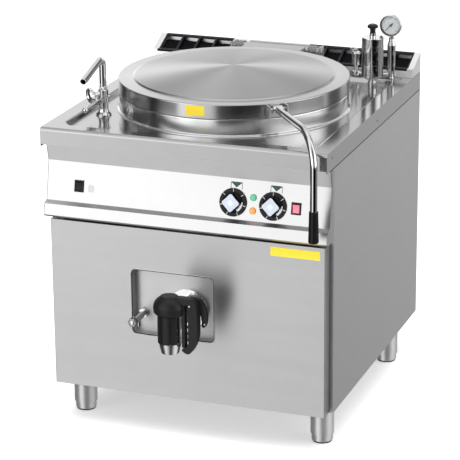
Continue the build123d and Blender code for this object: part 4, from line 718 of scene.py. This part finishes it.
def feet():
    """The four feet that screw out of their sleeves, each on a rubber pad."""
    pad = [(0, 0), (26.6, 0, 1.0), (27.2, 4.5, 0.6), (24, 5.0), (0, 5.0)]
    for place in ("front_left", "front_right", "rear_left", "rear_right"):
        foot = "foot_" + place
        softened(foot, 0.6)
        low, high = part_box(foot)
        centre = (low + high) / 2 / MM
        finish_piece("foot_pad_" + place, lathe(pad, 48, place_at((centre.x, centre.y, 0))), BODY_OF[foot],
                     "seal_rubber", "pad_rubber")


def cabinet():
    worktop()
    for node, width in (("front_panel", 1.9), ("console_end_caps", 0.8), ("flue_grille_left", 0.7),
                        ("flue_grille_right", 0.7), ("hinge_housing", 0.8)):
        softened(node, width)
    softened("control_console", 1.6, segments=3, angle=8)
    feet()
    # The upstand takes a paler steel that paints its bright reflection.
    softened("rear_upstand", 1.0, "upstand_painted_bright_steel")
    softened("foot_sleeves", 0.6, "foot_steel")
    softened("drain_recess_box", 1.0, "recess_steel")
    recess_edge()
    skirt_gap_shadows()
    grille_throats()
    plugs()
    back_screws()
    back_louvres()
    door_sticker()


# ---------------------------------------------------------------- switch panel
def on_panel(x, up=0.0, out=0.0):
    """A place on the row of controls, X to the right and Y up the sloping panel."""
    return place_at(CONTROLS + Vector((x, 0, 0)) + up * PANEL_UP + out * PANEL_OUT, PANEL_OUT)


def four_lobes(corner, side):
    """A square set on its corner, with soft corners and sides that dip."""
    return [(reach * cos(turn * pi / 4), reach * sin(turn * pi / 4), rounding)
            for turn, (reach, rounding) in enumerate([(corner, 6.5), (side, 7.0)] * 4)]


def control_knob(side, body, x):
    """A black ring with white ticks and a white arc that paints a highlight on it, and a black four-lobed grip with a
    pale face, whose paler middle square paints the light on the cap's flat top.
    """
    node = side + "_knob"
    ring = lathe([(0, 0.3), (37.5, 0.3), (37.5, 4.3, 1.0), (28.0, 4.3, 0.4), (26.5, 3.0, 0.5), (19, 6.0), (0, 6.0)],
                 96, on_panel(x))
    grip = prism(four_lobes(27.6, 18.8), 22.6, on_panel(x, out=0.3), edge=1.6)
    grip_top, face_thick = 22.8, 0.7
    spindle = lathe([(0, -18), (5, -18, 0.5), (5, 0.5), (0, 0.5)], 24, on_panel(x))
    finish_piece(node + "_grip", join([ring, grip, spindle]), body, "switch_black", "knob_black", [node])
    face = prism(four_lobes(26.4, 17.7), face_thick, on_panel(x, out=grip_top), edge=0.4)
    finish_piece(node + "_face", face, body, "knob_grey")
    # The paler middle square paints the light on the cap's flat top.
    square = [(9.5 * cos(quarter * pi / 2), 9.5 * sin(quarter * pi / 2), 2.0) for quarter in range(4)]
    middle = prism(square, 0.3, on_panel(x, out=grip_top + face_thick), edge=0.15)
    finish_piece(node + "_painted_lit_top", middle, body, "knob_grey", "knob_painted_lit_top")
    count = 7
    ticks = [prism(rectangle(8.6, 1.3, 32.6), 0.25, on_panel(x, out=4.2) @ turned(90 + 360 / count * turn))
             for turn in range(count)]
    # A white arc round the grip that paints a highlight on the ring.
    painted_highlight_arc = lathe([(21.5, 3.0), (27.2, 3.0), (27.2, 3.6), (21.5, 5.2)], 16, on_panel(x) @ turned(-60),
                     angle=radians(66))
    finish_piece(node + "_ticks", join(ticks + [painted_highlight_arc]), body, "knob_grey", "print_and_highlight_white", weighted=False)


def index_mark(name, x):
    """The printed frame above a knob, with a wedge that points down to it."""
    bars = [prism(rectangle(1.5, 17, side * 15.5, 44), 0.12, on_panel(x)) for side in (-1, 1)]
    bars.append(prism([(-16.2, 51, 0), (16.2, 51, 0), (16.2, 54.5, 3), (-16.2, 54.5, 3)], 0.13, on_panel(x)))
    bars.append(prism([(-14, 52, 0), (0, 39.5, 1), (14, 52, 0)], 0.12, on_panel(x)))
    finish_piece(name, join(bars), "kettle", "switch_black", "printed_green", weighted=False)


def lamps():
    """Two domed lenses between the knobs, the green one above the orange one."""
    lens = [(0, -2), (9.4, -2), (9.4, 1.4, 0.8), (8.1, 3.6, 1.2), (4.8, 4.7, 1.5), (0, 4.95)]
    between = (MODE_KNOB_X + HEAT_KNOB_X) / 2
    for name, up, nodes in (("lamp_green", 17.5, ["indicator_lamps"]), ("lamp_orange", -17.5, [])):
        finish_piece(name, lathe(lens, 40, on_panel(between, up)), "kettle", "lamp_plastic", name, nodes)


def blank_mark():
    """A pale printed square beside the black switch, with nothing on it."""
    square = prism(rectangle(18, 20), 0.12, on_panel(-271, -4), corner=1.5)
    finish_piece("blank_mark", square, "kettle", "console_steel", "printed_grey", weighted=False)


def switch_panel():
    for side, body, x in (("left", "mode_knob", MODE_KNOB_X), ("right", "heat_knob", HEAT_KNOB_X)):
        control_knob(side, body, x)
        index_mark(side + "_index_mark", x + 7)
    lamps()
    for node, width in (("switch_cases", 0.6), ("left_rocker", 0.9), ("right_rocker", 0.9)):
        softened(node, width)
    blank_mark()


# ---------------------------------------------------------------- lid and its handle
ON_AXIS = place_at((0, AXIS_Y, 0))


def lid():
    """The lid's shell: a straight skirt and a rounded rim, and inside the rim a raised, crowned disc."""
    rim = [(271.0, 927.9), (275.0, 923.9, 1), (316.9, 923.9, 1.5), (316.9, LID_LOW, 0.4), (LID_R, LID_LOW, 0.4),
           (LID_R, LID_RIM, 3), (277.4, LID_RIM, 2.5), (273.4, 929.4, 2.0), (271.0, 929.55)]
    finish_piece("lid_shell", lathe(rim, 192, ON_AXIS), "lid", "lid_steel", replaced=["lid_skin"])
    radius, edge_z, rise, sheet, steps = 271.2, 929.4, 23.0, 1.5, 12
    crown = [(radius * step / steps, edge_z + rise * (1 - (0.992 * step / steps) ** 2))
             for step in range(1, steps + 1)]
    disc = [(0, edge_z + rise)] + crown + [(r, z - sheet) for r, z in reversed(crown)] + [(0, edge_z + rise - sheet)]
    finish_piece("lid_disc", lathe(disc, 192, ON_AXIS), "lid", "lid_steel", "disc_steel")


def lid_sticker():
    """A blank yellow sticker on the front of the lid's skirt."""
    inside, outside, low, high = LID_R + 0.02, LID_R + 0.22, 893, 920.5
    label = lathe([(inside, low), (outside, low), (outside, high), (inside, high)], 16, ON_AXIS @ turned(-93.5),
                  angle=radians(9.3))
    finish_piece("lid_sticker", label, "lid", "knob_grey", "sticker_yellow", weighted=False)


def lid_handle():
    """The bracket, and the black grip that tapers from a domed lower end."""
    softened("lid_handle_bracket", 0.8)
    grip = [(0, 623.4), (14, 623.4, 4.5), (13.2, 660, 8), (12, 706, 3), (11.6, 709, 0.8), (9.55, 709), (9.55, 640),
            (0, 640)]
    finish_piece("handle_grip", lathe(grip, 48, place_at((377.3, -422.7, 0))), "lid", "grip_black",
                 replaced=["lid_handle_grip"])


def vessel():
    """The collar with its weld, and the lid that closes on it."""
    softened("vessel_collar", 1.0, "collar_steel")
    bead = [(320.0, 0), (323.4, 0, 0.4), (322.6, 1.6, 0.5), (320.8, 2.6, 0.5), (320.0, 2.2)]
    weld = lathe(bead, 160, place_at((0, AXIS_Y, SUNK_Z)))
    finish_piece("collar_weld", weld, "kettle", "worktop_steel", "collar_steel")
    lid()
    lid_sticker()
    lid_handle()
    softened("lid_hinge_bar", 0.6)


# ---------------------------------------------------------------- tap, safety group and drain
def gauge():
    """The dial with plain ticks and a black edge ring that paints the rim's shadow, behind a slightly domed glass."""
    at = place_at(GAUGE, (0, -1, 0))
    softened("gauge_case", 0.8)
    plate = lathe([(0, -7.9), (28.4, -7.9), (28.4, -7.4, 0.2), (0, -7.4)], 64, at)
    finish_piece("gauge_dial", plate, "kettle", "dial_glass", "dial_white")
    ticks = []
    start, sweep, steps = 225, 270, 20
    on_plate = at @ Matrix.Translation((0, 0, -7.4))
    for step in range(steps + 1):
        length, width, radius = (5.5, 1.3, 22.6) if step % 5 == 0 else (3.0, 0.7, 23.8)
        ticks.append(prism(rectangle(length, width, radius), 0.12, on_plate @ turned(start - sweep / steps * step)))
    # A black ring round the dial's edge, which paints the shadow under the case's rim.
    ticks.append(lathe([(26.6, -7.4), (28.3, -7.4), (28.3, -6.6), (26.6, -6.9)], 64, at))
    finish_piece("gauge_ticks_and_rim_shadow", join(ticks), "kettle", "needle_black", weighted=False)
    softened("gauge_needle", 0.2)
    lens = lathe([(0, -3.0), (28.4, -3.0), (28.4, -1.6, 0.3), (20, -1.1), (0, -0.7)], 64, at)
    finish_piece("gauge_glass", lens, "kettle", "dial_glass", replaced=["gauge_lens"])


def on_valve(x, y, z, out=(0, 0, 1), right=(1, 0, 0)):
    """A place measured from where the drain valve's upright axis crosses the drain line."""
    return place_at(Vector(VALVE) + Vector((x, y, z)), out, right)


# The heat guard's ribs: where each starts round the barrel and how far it reaches, in degrees
GUARD_RIBS = ((183, 17), (205, 40), (250, 40), (295, 31))


def guard_rib(angle):
    """A curved strip from 0 to an angle round the barrel, with rounded lower corners."""
    inner, outer, low, high = 28.35, 32.6, -43.0, 33.0

    def lower_end(edge):
        first, second = (vert.co for vert in edge.verts)
        turn = atan2(first.y, first.x) % (2 * pi)
        return (max(abs(first.z - low), abs(second.z - low)) < 0.01 and abs(first.length - second.length) > 1
                and min(abs(turn), abs(turn - radians(angle))) < 1e-4)

    rib = lathe([(inner, low), (outer, low), (outer, high), (inner, high)], 10, angle=radians(angle))
    bevel(rib, [edge for edge in rib.edges if lower_end(edge)], 5.0, 4)
    round_edges(rib, 0.7, 2, 50)
    return rib


def drain_guard():
    """Four ribs of the heat guard round the valve's barrel, apart from each other."""
    ribs = [moved(guard_rib(angle), on_valve(0, 0, 0) @ turned(start)) for start, angle in GUARD_RIBS]
    finish_piece("drain_guard_ribs", join(ribs), "kettle", "valve_black", replaced=["drain_valve_guard"])


def drain_handle():
    """The valve's mushroom cap, its arm, the hanging lever with finger waves, the inner strip and the rear hook."""
    half_width, half_depth = 44.5, 39.0
    cap = lathe([(0, 34.7), (37.5, 34.7, 2), (42.5, 38, 4), (half_width, 52, 9), (42.5, 64, 7), (36, 75, 9),
                 (25.5, 82, 2), (23.8, 83.4, 0.8), (23.4, 85.4, 0.8), (0, 86.2)], 72,
                on_valve(0, 0, 0) @ Matrix.Diagonal((1, half_depth / half_width, 1, 1)))
    arm = prism([(21, -12.8), (64, -12.8), (64, 12.8), (21, 12.8)], 17, on_valve(0, 0, 68), corner=4, edge=4,
                segments=4)
    waves = [point for step in range(5) for point in ((57.5, -36 + 18 * step, 3), (53, -27 + 18 * step, 3))]
    outline = [(60, 86, 4), (72, 84, 8), (80, 70, 10), (81.5, 20, 12), (80.5, -26, 12), (71, -51, 10), (61, -67, 6),
               (51, -69, 5), (37, -60, 3), (40, -53, 3), (50, -50, 4)] + waves + [(54, 60, 2), (54, 86, 2)]
    lever = prism(outline, 27, on_valve(0, 13.5, 0, (0, -1, 0)), edge=1.4, segments=2)
    strip = prism(rectangle(10, 122, 41, 8), 18, on_valve(0, 9, 0, (0, -1, 0)), corner=2)
    hook = prism([(62, 82), (80, 81, 8), (95, 64, 10), (101, 40, 14), (100, 14, 10), (94, 2, 5), (86, 3, 5),
                  (87, 26, 12), (82, 46, 12), (68, 62, 8)], 12, on_valve(0, 21, 0, (0, -1, 0)))
    round_edges(strip, 1.2, 2, 50)
    round_edges(hook, 1.5, 2, 50)
    finish_piece("drain_handle", join([cap, arm, lever, strip, hook]), "drain_lever", "valve_black",
                 replaced=["drain_valve_handle"])


def level_knob():
    """A lobed knob with a domed nut in its middle."""
    at = place_at(LEVEL_KNOB, (0, -1, 0))
    lobes = [(reach * cos(turn * pi / 6), reach * sin(turn * pi / 6), 2.6)
             for turn, reach in enumerate((14.0, 11.0) * 6)]
    spindle = lathe([(0, -12.5), (2.9, -12.5), (2.9, 0.5), (0, 0.5)], 24, at)
    finish_piece("level_knob_lobes", join([prism(lobes, 11.4, at, edge=2.4), spindle]), "level_knob",
                 "fittings_chrome", "level_painted_dark_chrome", ["level_tap_knob"])
    nut = lathe([(0, 11.2), (6.4, 11.2), (6.4, 12.2, 0.4), (4.6, 13.4, 1.2), (0, 13.4)], 32, at)
    finish_piece("level_knob_nut", nut, "level_knob", "fittings_chrome")


def lever_rivets():
    """Bright rivet heads in the lever and in the hook behind it."""
    rivet = [(0, -1), (3.0, -1), (3.0, 0.3, 0.2), (2.0, 1.4, 0.6), (0, 1.8)]
    rivets = [lathe(rivet, 24, on_valve(x, y, z, (0, -1, 0))) for x, y, z in ((93.5, 9.0, 12.0), (60.0, -13.3, 66.0))]
    finish_piece("lever_rivets", join(rivets), "drain_lever", "plug_steel", "handle_chrome")


def valve_case_seam():
    """The fine raised ring where the safety valve's case is closed."""
    seam = lathe([(30.9, 906), (31.15, 906.2), (31.15, 907.8), (30.9, 908)], 64, place_at(SAFETY_VALVE))
    finish_piece("valve_case_seam", seam, "kettle", "fittings_chrome")


def fittings():
    for node, width in (("tap_base", 0.7), ("tap_spout", 0.4), ("tap_handwheel", 0.9), ("tap_lever", 0.5),
                        ("safety_valve_body", 0.9), ("safety_valve_knob", 0.8), ("valve_manifold", 0.4),
                        ("gauge_riser", 0.6), ("vent_valve_body", 0.5), ("vent_valve_lever", 0.5),
                        ("drain_valve_plug", 0.5), ("level_tap_body", 0.5)):
        softened(node, width)
    # The drain valve's body takes a brighter chrome that paints the light on it.
    softened("drain_valve_body", 0.8, "spout_painted_bright_chrome")
    drain_guard()
    drain_handle()
    level_knob()
    valve_case_seam()
    lever_rivets()
    gauge()


# ---------------------------------------------------------------- the whole
def dress_nodes():
    """Puts the finishes on the CAD nodes; the side panels are ground from front to back."""
    for name, node in NODES.items():
        side = name in ("left_side_panel", "right_side_panel")
        node.material_slots[0].material = FINISH["side_steel" if side else SLOT_OF[name]]


bpy.context.scene.view_settings.view_transform = "Standard"
dress_nodes()
set_camera()
set_floor()
set_world()
set_lights()
cabinet()
switch_panel()
vessel()
fittings()
